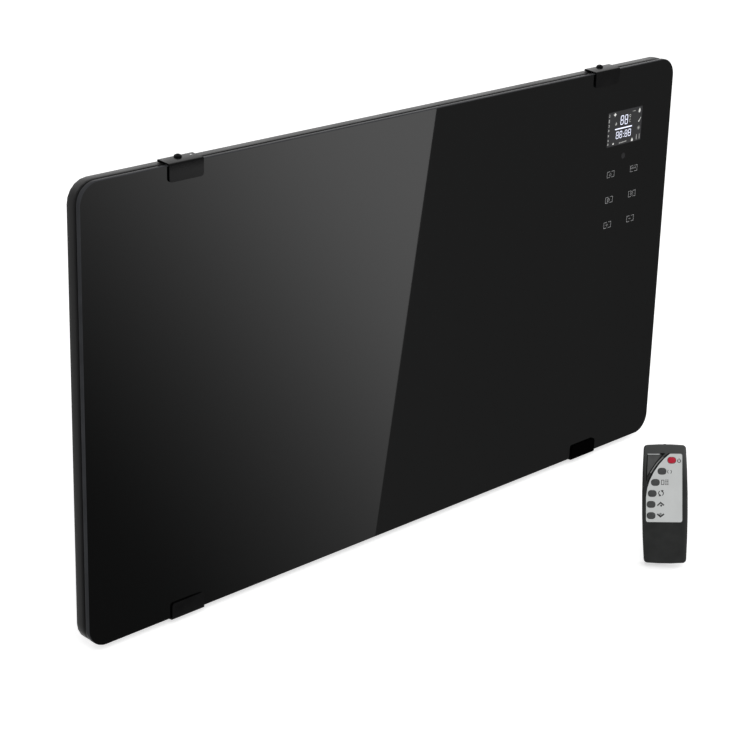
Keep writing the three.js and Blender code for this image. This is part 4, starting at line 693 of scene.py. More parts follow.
class HEATER_OT_stage(bpy.types.Operator):
    """Builds the camera, the lamps, the floor and the cards that the glass reflects"""
    bl_idname = "heater.stage"
    bl_label = "Stage"

    def execute(self, context):
        stage = settings().stage
        scene = context.scene
        scene.view_settings.view_transform = "Standard"
        eye = self.camera(scene)
        self.world(scene, stage)
        self.floor(stage)
        self.lamp("key_lamp", (-1.9, -2.4, 2.5), (2.2, 1.6), stage.key_power)
        self.lamp("fill_lamp", (2.6, -1.6, 1.2), (1.6, 1.6), stage.fill_power)
        self.cards(eye, stage)
        self.room_part("dim_room", (-178, -2), (-62, 78), stage.room_tone)
        self.room_part("side_room", (-250, -178), (-62, 35), stage.side_tone)
        return {"FINISHED"}

    def camera(self, scene):
        eye = Vector((-1439.73, -1450.49, 696.75)) * MM
        ahead = Vector((0.66865, 0.65425, -0.35337)).normalized()
        side = ahead.cross(Vector((0.23191, 0.26804, 0.93508))).normalized()
        data = bpy.data.cameras.new("camera")
        data.lens, data.sensor_width = 101.74, 36
        data.clip_start, data.clip_end = 0.05, 60
        camera = bpy.data.objects.new("camera", data)
        turn = Matrix((side, side.cross(ahead), -ahead)).transposed().to_4x4()
        camera.matrix_world = Matrix.Translation(eye) @ turn
        scene.collection.objects.link(camera)
        scene.camera = camera
        return eye

    def world(self, scene, stage):
        world = bpy.data.worlds.new("studio")
        scene.world = world
        world.use_nodes = True
        tree = world.node_tree
        tree.nodes.clear()
        path = add_node(tree, "ShaderNodeLightPath")
        seen = maths(tree, "MAXIMUM", path.outputs["Is Camera Ray"], path.outputs["Is Glossy Ray"])
        seen = maths(tree, "MAXIMUM", seen, path.outputs["Is Transmission Ray"])
        strength = maths(tree, "MULTIPLY_ADD", seen, 1 - stage.ambient, stage.ambient)
        sky = add_node(tree, "ShaderNodeBackground", {"Color": (1, 1, 1), "Strength": strength})
        add_node(tree, "ShaderNodeOutputWorld", {"Surface": sky.outputs[0]})

    def floor(self, stage):
        half, clear = 14.0, 0.0005
        level = CAD_BOX[0][2] - clear
        material, tree, shader = blank_material("pale_floor")
        feed(tree, shader, {
            "Base Color": stage.floor_colour, "Roughness": 0.9, "Specular IOR Level": 0.0})
        path = add_node(tree, "ShaderNodeLightPath")
        glow = add_node(tree, "ShaderNodeEmission", {
            "Strength": maths(tree, "MULTIPLY", path.outputs["Is Camera Ray"], stage.floor_lift)})
        both = add_node(tree, "ShaderNodeAddShader", {0: shader.outputs[0], 1: glow.outputs[0]})
        output = next(n for n in tree.nodes if n.type == "OUTPUT_MATERIAL")
        feed(tree, output, {"Surface": both.outputs[0]})
        corners = ((-half, -half), (half, -half), (half, half), (-half, half))
        floor = mesh_object("floor", [(x, y, level) for x, y in corners], [(0, 1, 2, 3)], material)
        floor.visible_glossy = False

    def lamp(self, name, place, size, power):
        data = bpy.data.lights.new(name, "AREA")
        data.shape, data.size, data.size_y, data.energy = "RECTANGLE", size[0], size[1], power
        lamp = bpy.data.objects.new(name, data)
        lamp.location = place
        aim = Vector((0, -0.15, 0)) - Vector(place)
        lamp.rotation_euler = aim.to_track_quat("-Z", "Y").to_euler()
        lamp.visible_glossy = False
        bpy.context.scene.collection.objects.link(lamp)

    def only_mirrored(self, thing):
        """Leaves a stage object to glossy faces alone."""
        for ray in ("camera", "diffuse", "transmission", "volume_scatter", "shadow"):
            setattr(thing, "visible_" + ray, False)

    def cards(self, eye, stage):
        """Two cards in front of the glass: their seam is mirrored as a slanting line."""
        mirrored = Vector((eye.x, 2 * GLASS_FRONT - eye.y, eye.z))
        away = GLASS_FRONT - eye.y
        grow = (away + stage.card_distance) / away

        def on_card(x, z):
            spot = mirrored + (Vector((x, GLASS_FRONT, z)) - mirrored) * grow
            return spot.x, GLASS_FRONT - stage.card_distance, spot.z

        foot, top = (SEAM_X + (z - SEAM_TOP) * SEAM_SLANT for z in (CARD_LOW, CARD_HIGH))
        for name, spans in (("light_card", (CARD_LEFT, foot, top, CARD_LEFT)),
                            ("dark_card", (foot, CARD_RIGHT, CARD_RIGHT, top))):
            corners = zip(spans, (CARD_LOW, CARD_LOW, CARD_HIGH, CARD_HIGH))
            card = mesh_object(name, [on_card(x, z) for x, z in corners], [(0, 1, 2, 3)],
                               self.card_light(name, grow, mirrored, stage))
            self.only_mirrored(card)

    def card_light(self, name, grow, mirrored, stage):
        """Light that gives each point of the glass its tone, from the share it mirrors there."""
        material, tree, glow = blank_material(name, "ShaderNodeEmission")
        place = add_node(tree, "ShaderNodeTexCoord")
        axes = add_node(tree, "ShaderNodeSeparateXYZ", {0: place.outputs["Object"]})
        x = maths(tree, "MULTIPLY_ADD", axes.outputs["X"], 1 / grow, mirrored.x * (1 - 1 / grow))
        z = maths(tree, "MULTIPLY_ADD", axes.outputs["Z"], 1 / grow, mirrored.z * (1 - 1 / grow))
        products = {"x": x, "z": z, "xx": maths(tree, "MULTIPLY", x, x),
                    "xz": maths(tree, "MULTIPLY", x, z), "zz": maths(tree, "MULTIPLY", z, z)}

        def series(factors):
            total = factors["1"]
            for term, factor in factors.items():
                if term != "1":
                    total = maths(tree, "MULTIPLY_ADD", products[term], factor, total)
            return total

        tone = stage.dark_tone
        if name == "light_card":
            tone = series(LIGHT_TONE)
            tone = maths(tree, "SMOOTH_MIN", tone, stage.brightest_tone, BRIGHT_BLEND)
            tone = maths(tree, "SMOOTH_MAX", tone, stage.darkest_tone, DARK_BLEND)
        light = maths(tree, "MULTIPLY_ADD", tone, TONE_SCALE, TONE_OFFSET)
        light = maths(tree, "POWER", light, TONE_GAMMA)
        light = maths(tree, "SUBTRACT", light, stage.glass_base)
        strength = maths(tree, "DIVIDE", light, series(MIRRORED_SHARE))
        feed(tree, glow, {"Strength": maths(tree, "MAXIMUM", strength, 0.0)})
        return material

    def room_part(self, name, turns, rises, tone):
        """Part of a dome round the panel, in degrees, that only glossy faces see."""
        radius, rows, columns = 6.0, 12, 24
        points, faces = [], []
        for i in range(rows + 1):
            rise = math.radians(rises[0] + (rises[1] - rises[0]) * i / rows)
            for j in range(columns + 1):
                turn = math.radians(turns[0] + (turns[1] - turns[0]) * j / columns)
                points.append((radius * math.cos(rise) * math.cos(turn),
                               radius * math.cos(rise) * math.sin(turn), radius * math.sin(rise)))
                if i < rows and j < columns:
                    a = i * (columns + 1) + j
                    faces.append((a, a + columns + 1, a + columns + 2, a + 1))
        material, tree, glow = blank_material(name, "ShaderNodeEmission")
        feed(tree, glow, {"Strength": tone})
        room = mesh_object(name, points, faces, material)
        self.only_mirrored(room)


# Nodes whose edges stay crisp, and nodes of few facets that need a wider smoothing angle
UNBROKEN = {"glass_seal", "touch_board", "power_board", "handset_circuit_board", "handset_label",
            "rear_cover"}
FEW_FACETS = {"infrared_lamp", "room_sensor", "board_frame", "thermal_cutout", "left_battery",
              "right_battery", "upper_element_lead", "lower_element_lead", "element_jumper",
              "mains_lead", "touch_pads"}


# Smoothing limits, and the least fold of an edge that is softly broken, in degrees
FACETS_LIMIT, FEW_FACETS_LIMIT, CRISP_EDGE = 33, 48, 50
# The most that a broken edge may take of its part's least thickness
MOST_OF_THICKNESS = 0.12
# One clip shows quite black, without the others' soft sheen: it gets a near-black, low-gloss copy
# of the clip coat as painted shade
SHADED_CLIP = "clip_lower_right"


def smoothing_tree():
    """Joins loose facets and shades them smooth up to a limiting angle."""
    tree, given, result = geometry_tree("smooth_by_angle", {"Limit": 0.58})
    joined = geo(tree, "MergeByDistance", {"Geometry": given.outputs[0], "Distance": 0.000002})
    plain = geo(tree, "RemoveAttribute", {"Geometry": joined, "Name": "custom_normal"})
    feed(tree, result, {0: softened(tree, plain, given.outputs["Limit"])})
    return tree


class HEATER_OT_finishes(bpy.types.Operator):
    """Gives every node of the frame its finish, smooth curves and softly broken edges"""
    bl_idname = "heater.finishes"
    bl_label = "Finishes"

    def execute(self, context):
        finishes = build_finishes()
        tree = smoothing_tree()
        limit = next(item.identifier for item in tree.interface.items_tree if item.name == "Limit")
        for row in frame["record"]["subparts"]:
            node, slot = row["node"], row["material_slot"]
            piece = frame["nodes"][node]
            piece.data.materials.clear()
            piece.data.materials.append(finishes["shaded_clip_steel" if node == SHADED_CLIP else slot])
            smooth = piece.modifiers.new("Smooth by angle", "NODES")
            smooth.node_group = tree
            smooth[limit] = math.radians(FEW_FACETS_LIMIT if node in FEW_FACETS else FACETS_LIMIT)
            if node in UNBROKEN:
                flat = piece.modifiers.new("Even normals", "WEIGHTED_NORMAL")
                flat.keep_sharp = True
            else:
                low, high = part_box(node)
                soft = piece.modifiers.new("Broken edges", "BEVEL")
                thinnest = min(high - low)
                soft.width = min(settings().finishes.edge_radius, thinnest * MOST_OF_THICKNESS)
                soft.segments = 2
                soft.limit_method = "ANGLE"
                soft.angle_limit = math.radians(CRISP_EDGE)
                soft.harden_normals = True
        return {"FINISHED"}


def finish(name):
    found = bpy.data.materials.get(name)
    if found is None:
        raise RuntimeError(f"run the finishes first: there is no {name}")
    return found


# Where the controls show on the face of the glass
DISPLAY_X, DISPLAY_Z = 0.32406, 0.15214
RECEIVER_X, RECEIVER_Z = 0.32497, 0.1200
KEY_COLUMNS = (0.30508, 0.34437)
KEY_ROWS = (0.10272, 0.07447, 0.04631)


class HEATER_OT_glass_sheet(bpy.types.Operator):
    """Makes the black enamelled glass sheet with its ground, chamfered edges"""
    bl_idname = "heater.glass_sheet"
    bl_label = "Glass sheet"

    def execute(self, context):
        corner, steps, chamfer = 0.020, 14, 0.0005
        points, faces = [], []
        shoulder_in, shoulder_deep = 0.25 * chamfer, 0.3 * chamfer
        profile = ((chamfer, GLASS_FRONT), (shoulder_in, GLASS_FRONT + shoulder_deep),
                   (0.0, GLASS_FRONT + chamfer), (0.0, GLASS_REAR - chamfer),
                   (shoulder_in, GLASS_REAR - shoulder_deep), (chamfer, GLASS_REAR))
        for inset, y in profile:
            outline = box_outline(GLASS_LOW.x + inset, GLASS_LOW.z + inset, GLASS_HIGH.x - inset,
                                  GLASS_HIGH.z - inset, corner - inset, steps)
            points += [(u, y, v) for u, v in outline]
        count = len(points) // len(profile)
        for r in range(len(profile) - 1):
            for k in range(count):
                a, b = r * count + k, r * count + (k + 1) % count
                faces.append((a, a + count, b + count, b))
        edges = len(faces)
        faces += [tuple(range(count)), tuple(range(len(points) - 1, len(points) - count - 1, -1))]
        ground = coated("ground_glass_edge", (0.035, 0.036, 0.039), (0.16, 0.24), cloud=40.0,
                        grain=2600.0, depth=0.000002, spread=0.2, gloss=0.02)
        piece = mesh_object("glass_sheet", points, faces, finish("enamelled_glass"), ground)
        for polygon in list(piece.data.polygons)[:edges]:
            polygon.material_index, polygon.use_smooth = 1, True
        ride_piece(piece, "heater")
        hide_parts("glass_front_panel")
        return {"FINISHED"}


class HEATER_OT_display(bpy.types.Operator):
    """Makes the lit display: its film, digits, bar and small marks"""
    bl_idname = "heater.display"
    bl_label = "Display"

    def execute(self, context):
        looks = settings().controls
        width, height = looks.window_width, looks.window_height
        origin = (DISPLAY_X - width / 2, GLASS_FRONT, DISPLAY_Z - height / 2)
        ink, corner = looks.ink_thickness, 0.0006
        film = Plates(origin)
        film.plate(box_outline(0, 0, width, height, corner, 2), -ink, 0.25 * ink)
        film.piece("display_film", smoked_window(), "heater", "display_grey")
        low, high = 0.0, 0.5 * ink
        digits = Plates(origin)
        self.digits(digits, low, high)
        digits.piece("display_digits", lit("digit_light", tuple(looks.digit_colour), 1.75),
                     "heater", "display_grey")
        bright, dim = Plates(origin), Plates(origin)
        self.bright_marks(*bright.pens(low, high))
        self.dim_marks(*dim.pens(low, high))
        light = tuple(looks.icon_colour)
        bright.piece("display_marks", lit("mark_light", light, 1.3), "heater", "display_grey")
        dim.piece("display_scale", lit("scale_light", light, 0.66), "heater", "display_grey")
        return {"FINISHED"}

    def digits(self, plates, low, high):
        """Two large digits over a bar, and four small ones with a colon under it."""
        top, stroke = 31.2, 0.84
        for u, v, width, lean in ((21.2, 22.1, 4.4, 0.05), (28.6, 21.6, 4.3, 0.0)):
            seven_segments(plates, u * MM, v * MM, width * MM, (top - v) * MM, stroke * MM, lean,
                           low, high)
        foot, height, stroke, lean = 7.5, 7.1, 0.7, 0.02
        for u, width in ((15.0, 3.9), (21.0, 3.4), (29.8, 3.5), (35.4, 4.0)):
            seven_segments(plates, u * MM, foot * MM, width * MM, height * MM, stroke * MM, lean,
                           low, high)
        fill = plates.pens(low, high)[1]
        for v in (8.1, 11.6):
            fill(disc(27.25, v, 0.6, 14))
        fill(box_outline(12.4, 17.2, 41.2, 18.5, 0.6, 4))

    def bright_marks(self, line, fill):
        # four-pointed mark at the upper left
        tips = [(2.5 * math.cos(math.radians(a)), 2.3 * math.sin(math.radians(a))) if a % 90 == 0
                else (1.3 * math.cos(math.radians(a)), 1.2 * math.sin(math.radians(a)))
                for a in range(0, 360, 45)]
        fill([(11.0 + u, 34.2 + v) for u, v in tips])
        # drop and wrench down the right edge
        fill([(50.9, 32.1), (51.6, 30.9), (52.7, 30.6), (53.8, 31.4), (54.2, 33.0), (53.7, 34.4),
              (52.9, 35.8), (51.9, 34.3)])
        line([(51.6, 21.0), (52.8, 21.4), (53.6, 22.4)], 1.3)
        line([(53.5, 22.2), (54.6, 23.4), (55.6, 25.2)], 0.6)
        # padlock and four-sided mark along the foot
        fill(box_outline(41.2, 0.8, 44.3, 2.9))
        line(arc(42.75, 2.9, 1.0, 0, 180, 8), 0.6)
        fill([(9.0, 1.8), (12.1, 1.8), (11.3, 3.7), (10.4, 3.7)])
        # degree mark beside the large digits
        line(arc(36.7, 28.9, 1.7, 25, 155, 8), 0.4)
        fill(disc(37.0, 28.4, 0.62, 14))

    def dim_marks(self, line, fill):
        # unit mark beside the large digits
        line([(38.4, 25.6), (36.4, 25.6), (36.2, 22.9), (38.2, 22.9)], 0.6)
        # small flame, dash, sun and two bars
        fill([(12.0, 22.5), (14.6, 22.5), (15.1, 24.0), (13.9, 25.9), (12.9, 24.2)])
        line([(40.6, 33.7), (45.6, 33.7)], 0.6)
        fill(disc(52.8, 13.9, 1.1, 12))
        for k in range(8):
            cu, cv = math.cos(math.radians(45 * k)), math.sin(math.radians(45 * k))
            line([(52.8 + 1.5 * cu, 13.9 + 1.4 * cv), (52.8 + 2.4 * cu, 13.9 + 2.2 * cv)], 0.5)
        line([(50.1, 1.3), (50.1, 6.9)], 0.9)
        line([(55.0, 1.5), (55.0, 6.9)], 0.9)
        # rising line of dashes along the foot
        for k in range(5):
            u, v = 20.6 + 2.6 * k, 1.4 + 0.12 * k
            fill(box_outline(u, v, u + 2.1, v + 1.0))
        # column of period marks at the left edge
        for v, tall in ((34.2, 2.2), (29.3, 1.2), (27.3, 0.9), (23.2, 2.0), (18.2, 1.4),
                        (12.5, 1.3), (7.3, 1.5), (3.2, 1.4)):
            line(box_outline(0.9, v - tall / 2, 2.2, v + tall / 2), 0.7)


class HEATER_OT_touch_keys(bpy.types.Operator):
    """Prints the frames and marks of the six touch keys and the receiver's dot"""
    bl_idname = "heater.touch_keys"
    bl_label = "Touch keys"

    def execute(self, context):
        looks = settings().controls
        low, high = -looks.ink_thickness, 0.3 * looks.ink_thickness
        half_w, half_h = looks.key_width / 2, looks.key_height / 2
        half_gap, shift, receiver_radius, icon_share = 0.0012, 0.0005, 0.0031, 0.85
        printed = Plates((0, GLASS_FRONT, 0))
        for cz in KEY_ROWS:
            for cx in KEY_COLUMNS:
                for side in (-1, 1):
                    inner = cx + shift + side * half_gap
                    outer = cx + shift + side * half_w
                    path = [(inner, cz - half_h), (outer, cz - half_h), (outer, cz + half_h),
                            (inner, cz + half_h)]
                    printed.ribbon(path[::side], looks.line_width, low, high)
        self.icons(printed, looks.line_width * icon_share, low, high)
        ink_finish = coated("grey_ink", tuple(looks.ink_colour), (0.02, 0.06), cloud=300.0,
                            grain=2400.0, depth=0.0000005, spread=0.15)
        printed.piece("touch_key_print", ink_finish, "heater", "display_grey")
        window = Plates((0, GLASS_FRONT, 0))
        window.plate(disc(RECEIVER_X, RECEIVER_Z, receiver_radius, 28), low, high)
        film = coated("receiver_film", (0.022, 0.022, 0.023), (0.02, 0.06), cloud=500.0,
                      grain=3000.0, depth=0.0000005)
        window.piece("receiver_window", film, "heater", "display_grey")
        return {"FINISHED"}

    def icons(self, printed, width, low, high):
        def line(cx, cz, path, scale=1.0, closed=False):
            printed.ribbon([(cx + u * MM, cz + v * MM) for u, v in path], width * scale, low, high,
                           closed)

        left, right = KEY_COLUMNS
        top, middle, foot = KEY_ROWS
        # power ring with its stroke
        line(left, top, arc(-0.2, -0.3, 1.5, 125, 415, 18))
        line(left, top, [(-0.2, 0.2), (-0.2, 2.0)])
        # row of bars on a line
        for u in (-4.6, -1.9, 0.8, 3.5):
            line(right, top, [(u, -0.6), (u, 1.7)], 1.1)
        line(right, top, [(-5.4, 0.5), (4.4, 0.5)], 1.1)
        # clock face
        line(left, middle, disc(-0.5, -0.1, 1.8, 20), 1.3, True)
        line(left, middle, [(-0.5, 1.2), (-0.5, -0.1), (0.5, -0.8)], 1.2)
        # ring with a rising stroke
        line(right, middle, disc(0.0, 0.3, 2.1, 20), 1.05, True)
        line(right, middle, [(-1.0, -0.5), (0.9, 1.1)], 1.1)
        # plus and minus
        line(left, foot, [(-2.3, 0.0), (1.7, 0.0)], 1.1)
        for end in (0.5, -0.5):
            line(left, foot, [(-0.3, end), (-0.3, 4 * end)], 1.1)
        line(right, foot, [(-2.4, 0.0), (1.6, 0.0)], 1.2)


class HEATER_OT_clip_pads(bpy.types.Operator):
    """Puts a rubber pad between each clip's flap and the glass"""
    bl_idname = "heater.clip_pads"
    bl_label = "Clip pads"

    def execute(self, context):
        thick = settings().fasteners.pad_thickness
        margin, start, end, clear, corner = 0.003, 0.0012, 0.0136, 0.0002, 0.0012
        for side, outer, inwards in (("upper", GLASS_HIGH.z, -1), ("lower", GLASS_LOW.z, 1)):
            for hand in ("left", "right"):
                low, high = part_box(f"clip_{side}_{hand}")
                v0, v1 = sorted((outer + inwards * start, outer + inwards * end))
                pad = Plates((0, GLASS_FRONT, 0))
                pad.plate(box_outline(low.x + margin, v0, high.x - margin, v1, corner, 4),
                          clear, clear + thick)
                pad.piece(f"clip_pad_{side}_{hand}", finish("black_rubber"), "heater",
                          "black_rubber")
        return {"FINISHED"}


# Rear face of the cover's rim, and where its screws stand: along the long edges, and at the ends
RIM_REAR = -0.067
LONG_EDGE_X, LONG_EDGE_Z = (-0.24304, 0, 0.24304), (-0.206, 0.206)
END_X, END_Z = (-0.392, 0.392), (-0.1277, 0.1277)


class HEATER_OT_rim_screws(bpy.types.Operator):
    """Sets the ten screws in the rear cover's rim"""
    bl_idname = "heater.rim_screws"
    bl_label = "Rim screws"

    def execute(self, context):
        looks = settings().fasteners
        spots = [(x, RIM_REAR, z) for xs, zs in ((LONG_EDGE_X, LONG_EDGE_Z), (END_X, END_Z))
                 for x in xs for z in zs]
        tree = screw_tree("rim_screw_heads", finish("zinc_plate"))
        values = {"Head Radius": looks.head_radius, "Head Height": looks.head_height,
                  "Recess Width": looks.recess_width, "Tilt": math.radians(-90), "Turn": 0.7}
        repeated_piece("rim_screws", tree, spots, values, "heater")
        return {"FINISHED"}


class HEATER_OT_clip_screws(bpy.types.Operator):
    """Makes the domed screws with cross recesses that hold the four clips"""
    bl_idname = "heater.clip_screws"
    bl_label = "Clip screws"

    def execute(self, context):
        looks = settings().fasteners
        tree = screw_tree("clip_screw_heads", finish("blackened_screw"))
        for side, tilt in (("upper", 0.0), ("lower", math.pi)):
            nodes = [f"clip_screw_{side}_{hand}" for hand in ("left", "right")]
            spots = []
            for node in nodes:
                low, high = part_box(node)
                foot = (high.z - looks.clip_head_height if side == "upper"
                        else low.z + looks.clip_head_height)
                spots.append(((low.x + high.x) / 2, (low.y + high.y) / 2, foot))
            values = {"Head Radius": looks.clip_head_radius, "Head Height": looks.clip_head_height,
                      "Recess Width": looks.recess_width, "Shank Radius": 0.0015,
                      "Shank Length": 0.008, "Tilt": tilt, "Turn": 0.9}
            piece = repeated_piece(f"clip_screws_{side}", tree, spots, values, "heater")
            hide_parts(*nodes)
        return {"FINISHED"}


class HEATER_OT_clip_rivets(bpy.types.Operator):
    """Sets a small bright rivet in each clip at the left"""
    bl_idname = "heater.clip_rivets"
    bl_label = "Clip rivets"

    def execute(self, context):
        radius = settings().fasteners.rivet_radius
        offset, back, rise = 0.0137, 0.0089, 0.0022
        spots = []
        for side, up, edge in (("upper", 1, GLASS_HIGH.z), ("lower", -1, GLASS_LOW.z)):
            low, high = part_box(f"clip_{side}_left")
            middle = (low.x + high.x) / 2
            spots.append((middle + offset, GLASS_FRONT + back, edge + up * rise))
        repeated_piece("clip_rivets", rivet_tree(finish("bright_rivet")), spots,
                       {"Radius": radius, "Rise": radius * 0.75}, "heater")
        return {"FINISHED"}


class HEATER_OT_switch_marks(bpy.types.Operator):
    """Marks the rocker with its stroke and its ring"""
    bl_idname = "heater.switch_marks"
    bl_label = "Switch marks"

    def execute(self, context):
        rocker = frame["nodes"]["switch_rocker"]
        low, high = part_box("switch_rocker")
        middle, least_turn, least_area = (low.z + high.z) / 2, 0.7, 1e-5
        faces = [p for p in rocker.data.polygons
                 if p.normal.x > least_turn and p.area > least_area]
        white = coated("white_print", (0.62, 0.62, 0.60), (0.45, 0.55), cloud=400.0, grain=2600.0,
                       depth=0.000002, spread=0.06)
        marks = Plates((0, 0, 0))
        line = marks.pens(-0.00002, 0.00005)[0]
        for upper in (True, False):
            half = [p for p in faces if (p.center.z > middle) == upper]
            if not half:
                raise RuntimeError("the rocker has no outer faces to mark")
            normal = sum((p.normal * p.area for p in half), Vector()).normalized()
            centre = sum((p.center * p.area for p in half), Vector()) / sum(p.area for p in half)
            across = Vector((0, 1, 0))
            marks.stand_on(centre, across, across.cross(normal) * -1, normal)
            if upper:
                line([(0, -1.9), (0, 1.9)], 0.6)
            else:
                line(disc(0, 0, 1.7, 24), 0.6, True)
        marks.piece("rocker_marks", white, "rocker", "black_plastic")
        return {"FINISHED"}


class HEATER_OT_handset_print(bpy.types.Operator):
    """Prints the handset's marks, lays its inlay and lays a painted shadow round each key"""
    bl_idname = "heater.handset_print"
    bl_label = "Handset marks"

    def execute(self, context):
        printed = self.front()
        self.icons(*printed.pens(0.0, 0.00005))
        dark = coated("dark_print", (0.035, 0.035, 0.035), (0.5, 0.6), cloud=400.0, grain=2600.0,
                      depth=0.000002, spread=0.2)
        printed.piece("handset_print", dark, "handset", "label_grey")
        self.inlay()
        self.collars()
        # the photo shows no mirror image of the handset in the glass
        for name, body in frame["bodies"].items():
            if name in ("handset", "battery_door") or name.endswith("_key"):
                for part in body.children_recursive:
                    part.visible_glossy = False
        return {"FINISHED"}

    def front(self):
        """Plates on the handset's front, with the middle of its foot as zero point."""
        turn = HANDSET_PLACE.to_3x3()
        return Plates(HANDSET_PLACE @ Vector((0, HANDSET_FRONT, 0)), turn @ Vector((1, 0, 0)),
                      turn @ Vector((0, 0, 1)), turn @ Vector((0, -1, 0)))

    def icons(self, line, fill):

        # power mark beside the red key
        line(arc(14.1, 102.3, 1.6, 125, 415, 18), 0.72)
        line([(14.1, 102.8), (14.1, 104.8)], 0.7)
        # pair of brackets
        line(arc(4.6, 91.4, 1.95, 122, 238, 10), 0.6)
        line(arc(4.6, 91.4, 1.95, -58, 58, 10), 0.6)
        # box and two columns of bars
        line(box_outline(-3.3, 78.6, -0.9, 83.0), 0.58, True)
        for v in (78.6, 80.1, 81.6, 83.1):
            line([(0.3, v), (1.7, v)], 0.7)
            line([(2.1, v), (3.6, v)], 0.7)
        # two turning arrows
        mid_u, mid_v, ring, reach, half = -3.8, 70.0, 2.4, 2.45, 1.4
        for start in (-62, 120):
            line(arc(mid_u, mid_v, ring, start, start + 104, 12), 0.75)
            tip = math.radians(start + 128)
            nu, nv = math.cos(tip), math.sin(tip)
            cu, cv = mid_u + reach * nu, mid_v + reach * nv
            fill([(cu + nv - nu * half, cv - nu - nv * half),
                  (cu + nv + nu * half, cv - nu + nv * half),
                  (cu - nv * half, cv + nu * half)])
        # rising and falling chevrons, with a dot and a ring
        line([(-7.4, 57.6), (-4.1, 60.6), (-0.9, 57.9)], 1.3)
        fill(disc(-3.6, 57.6, 1.0, 14))
        line([(-7.5, 49.3), (-4.3, 46.6), (-0.8, 49.3)], 1.5)
        line(disc(-4.3, 49.2, 0.8, 14), 0.55, True)

    def inlay(self):
        """The three-cornered panel beside the label, with its painted highlight line, its raised
        arc that carries a painted highlight, and dark seams.
        """
        def curve(*path, steps=5):
            """Points of a curve through the given points."""
            points = []
            for i in range(len(path) - 1):
                before, a, b, after = (path[max(i - 1, 0)], path[i], path[i + 1],
                                       path[min(i + 2, len(path) - 1)])
                for k in range(steps):
                    t = k / steps
                    points.append(tuple(
                        0.5 * (2 * a[n] + (b[n] - before[n]) * t
                               + (2 * before[n] - 5 * a[n] + 4 * b[n] - after[n]) * t * t
                               + (3 * a[n] - before[n] - 3 * b[n] + after[n]) * t ** 3)
                        for n in (0, 1)))
            return points + [path[-1]]

        def part(name, finish_name, colour, gloss, low, lines=(), fills=()):
            """A piece of lines, each a path, a width and a height, and of fills with heights."""
            plates = self.front()
            for path, width, high in lines:
                plates.pens(low, high)[0](path, width)
            for path, high in fills:
                plates.pens(low, high)[1](path)
            moulded = coated(finish_name, colour, (0.4, 0.5), cloud=200.0, grain=2000.0,
                             depth=0.000004, spread=0.15, gloss=gloss)
            plates.piece(name, moulded, "handset", "handset_plastic")

        rim = curve((-17.4, 87.4), (-16.3, 88.9), (-13.9, 93.0), (-10.3, 97.9), (-6.9, 102.7),
                    (-4.3, 107.4))
        part("handset_panel", "panel_grey", (0.078, 0.080, 0.079), 0.3, -0.00035,
             fills=[(rim + [(-16.8, 107.4)], 0.00008)])
        # painted highlight: a pale line along the top edge of the panel, where light catches it
        part("handset_gleam", "painted_highlight_line", (0.40, 0.41, 0.41), 0.5, -0.0003,
             [([(-17.0, 108.8), (-5.2, 108.8)], 1.05, 0.00015)])
        # the raised bead catches real light, and its pale grey adds a painted highlight along it
        bead = curve((-1.6, 105.9), (-3.3, 104.2), (-6.4, 101.2), (-9.1, 97.8), (-11.2, 94.7),
                     (-14.2, 90.0))
        part("handset_bead", "painted_highlight_bead", (0.22, 0.225, 0.22), 0.5, -0.0001,
             [(bead, 0.85, 0.00016)])
        inner = curve((-2.3, 107.7), (-5.0, 104.9), (-7.9, 101.6), (-11.2, 96.8), (-15.0, 91.0),
                      (-17.2, 86.6))
        outer = curve((4.6, 109.9), (0.2, 106.6), (-3.3, 102.7), (-6.1, 99.4), (-8.6, 96.0),
                      (-11.4, 91.8), (-13.8, 87.4), (-15.6, 83.6), (-17.1, 79.5))
        side = [(-17.3, 108.1), (-17.9, 95.0), (-18.1, 82.0)]
        wedge = [(-2.6, 107.3), (0.4, 109.2), (-0.6, 110.0), (-4.6, 110.0), (-4.4, 109.5)]
        part("handset_seams", "black_seam", (0.005, 0.005, 0.005), 0.1, -0.0001,
             [(inner, 0.8, 0.00012), (outer, 1.0, 0.00012), (side, 0.8, 0.0001)],
             [(wedge, 0.00008)])

    def collars(self):
        """A dark ring round each key, broader below it: a painted shadow of the gap round the key
        and of its shaded lower flank.
        """
        # the ring sits a little low, so that the painted shadow is broader below each key
        half_w, half_h, corner, shadow_drop = 0.00416, 0.00311, 0.0029, 0.00012
        cap_depth, width, low, high = 0.0006, 0.00036, -0.0001, 0.0001
        ring = self.front()
        for node in ("power_key", "timer_key", "level_key", "mode_key", "up_key", "down_key"):
            points = [HANDSET_PLACE.inverted() @ v.co for v in frame["nodes"][node].data.vertices]
            top = min(p.y for p in points) + cap_depth
            cap = [p for p in points if p.y < top]
            cu = (min(p.x for p in cap) + max(p.x for p in cap)) / 2
            cv = (min(p.z for p in cap) + max(p.z for p in cap)) / 2 - shadow_drop
            ring.ribbon(box_outline(cu - half_w, cv - half_h, cu + half_w, cv + half_h, corner, 6),
                        width, low, high, True)
        # near-black colour of the painted key shadows
        dark = coated("painted_shadow_black", (0.010, 0.010, 0.010), (0.4, 0.5), cloud=300.0, grain=2400.0,
                      depth=0.000004, gloss=0.2)
        ring.piece("key_collars", dark, "handset", "label_grey")


CLASSES = (HeaterStage, HeaterControls, HeaterFasteners, HeaterFinishes, HeaterSettings,
           HEATER_OT_stage, HEATER_OT_finishes, HEATER_OT_glass_sheet, HEATER_OT_display,
           HEATER_OT_touch_keys, HEATER_OT_clip_pads, HEATER_OT_clip_rivets,
           HEATER_OT_clip_screws, HEATER_OT_rim_screws, HEATER_OT_switch_marks,
           HEATER_OT_handset_print)
STEPS = [c for c in CLASSES if c.__name__.startswith("HEATER_OT_")]


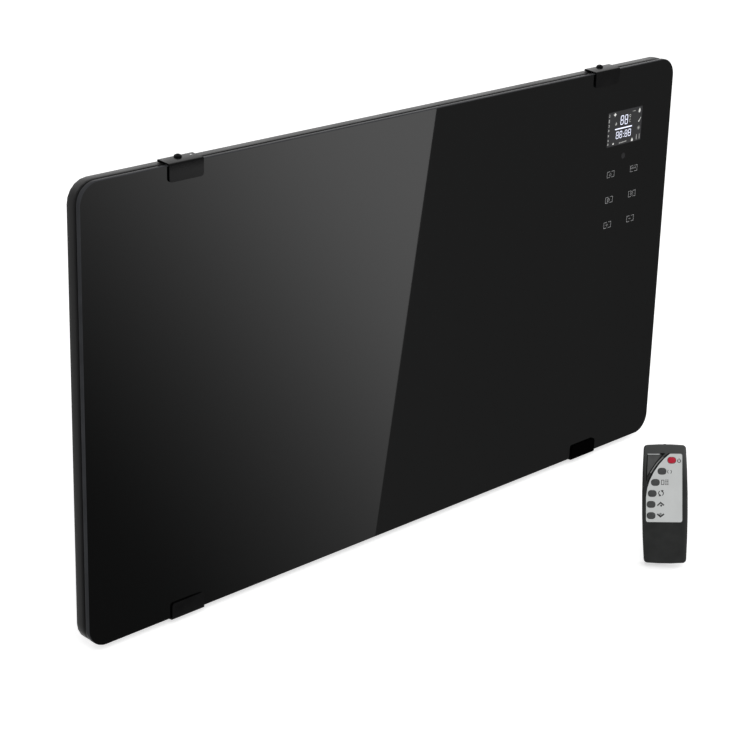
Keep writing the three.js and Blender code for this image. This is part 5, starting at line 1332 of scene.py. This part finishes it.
class HEATER_PT_looks(bpy.types.Panel):
    """Lists the settings and the steps of the heater's looks"""
    bl_idname = "HEATER_PT_looks"
    bl_label = "Glass Panel Heater"
    bl_space_type = "VIEW_3D"
    bl_region_type = "UI"
    bl_category = "Heater"

    def draw(self, context):
        looks = context.scene.heater_looks
        for group in (looks.stage, looks.controls, looks.fasteners, looks.finishes):
            box = self.layout.box()
            for key in group.bl_rna.properties.keys():
                if key not in ("rna_type", "name"):
                    box.prop(group, key)
        for step in STEPS:
            self.layout.operator(step.bl_idname)


def register():
    for cls in (*CLASSES, HEATER_PT_looks):
        bpy.utils.register_class(cls)
    bpy.types.Scene.heater_looks = bpy.props.PointerProperty(type=HeaterSettings)


def unregister():
    del bpy.types.Scene.heater_looks
    for cls in reversed((*CLASSES, HEATER_PT_looks)):
        bpy.utils.unregister_class(cls)


def main():
    register()
    for step in STEPS:
        group, name = step.bl_idname.split(".")
        getattr(getattr(bpy.ops, group), name)()


if __name__ == "__main__":
    main()
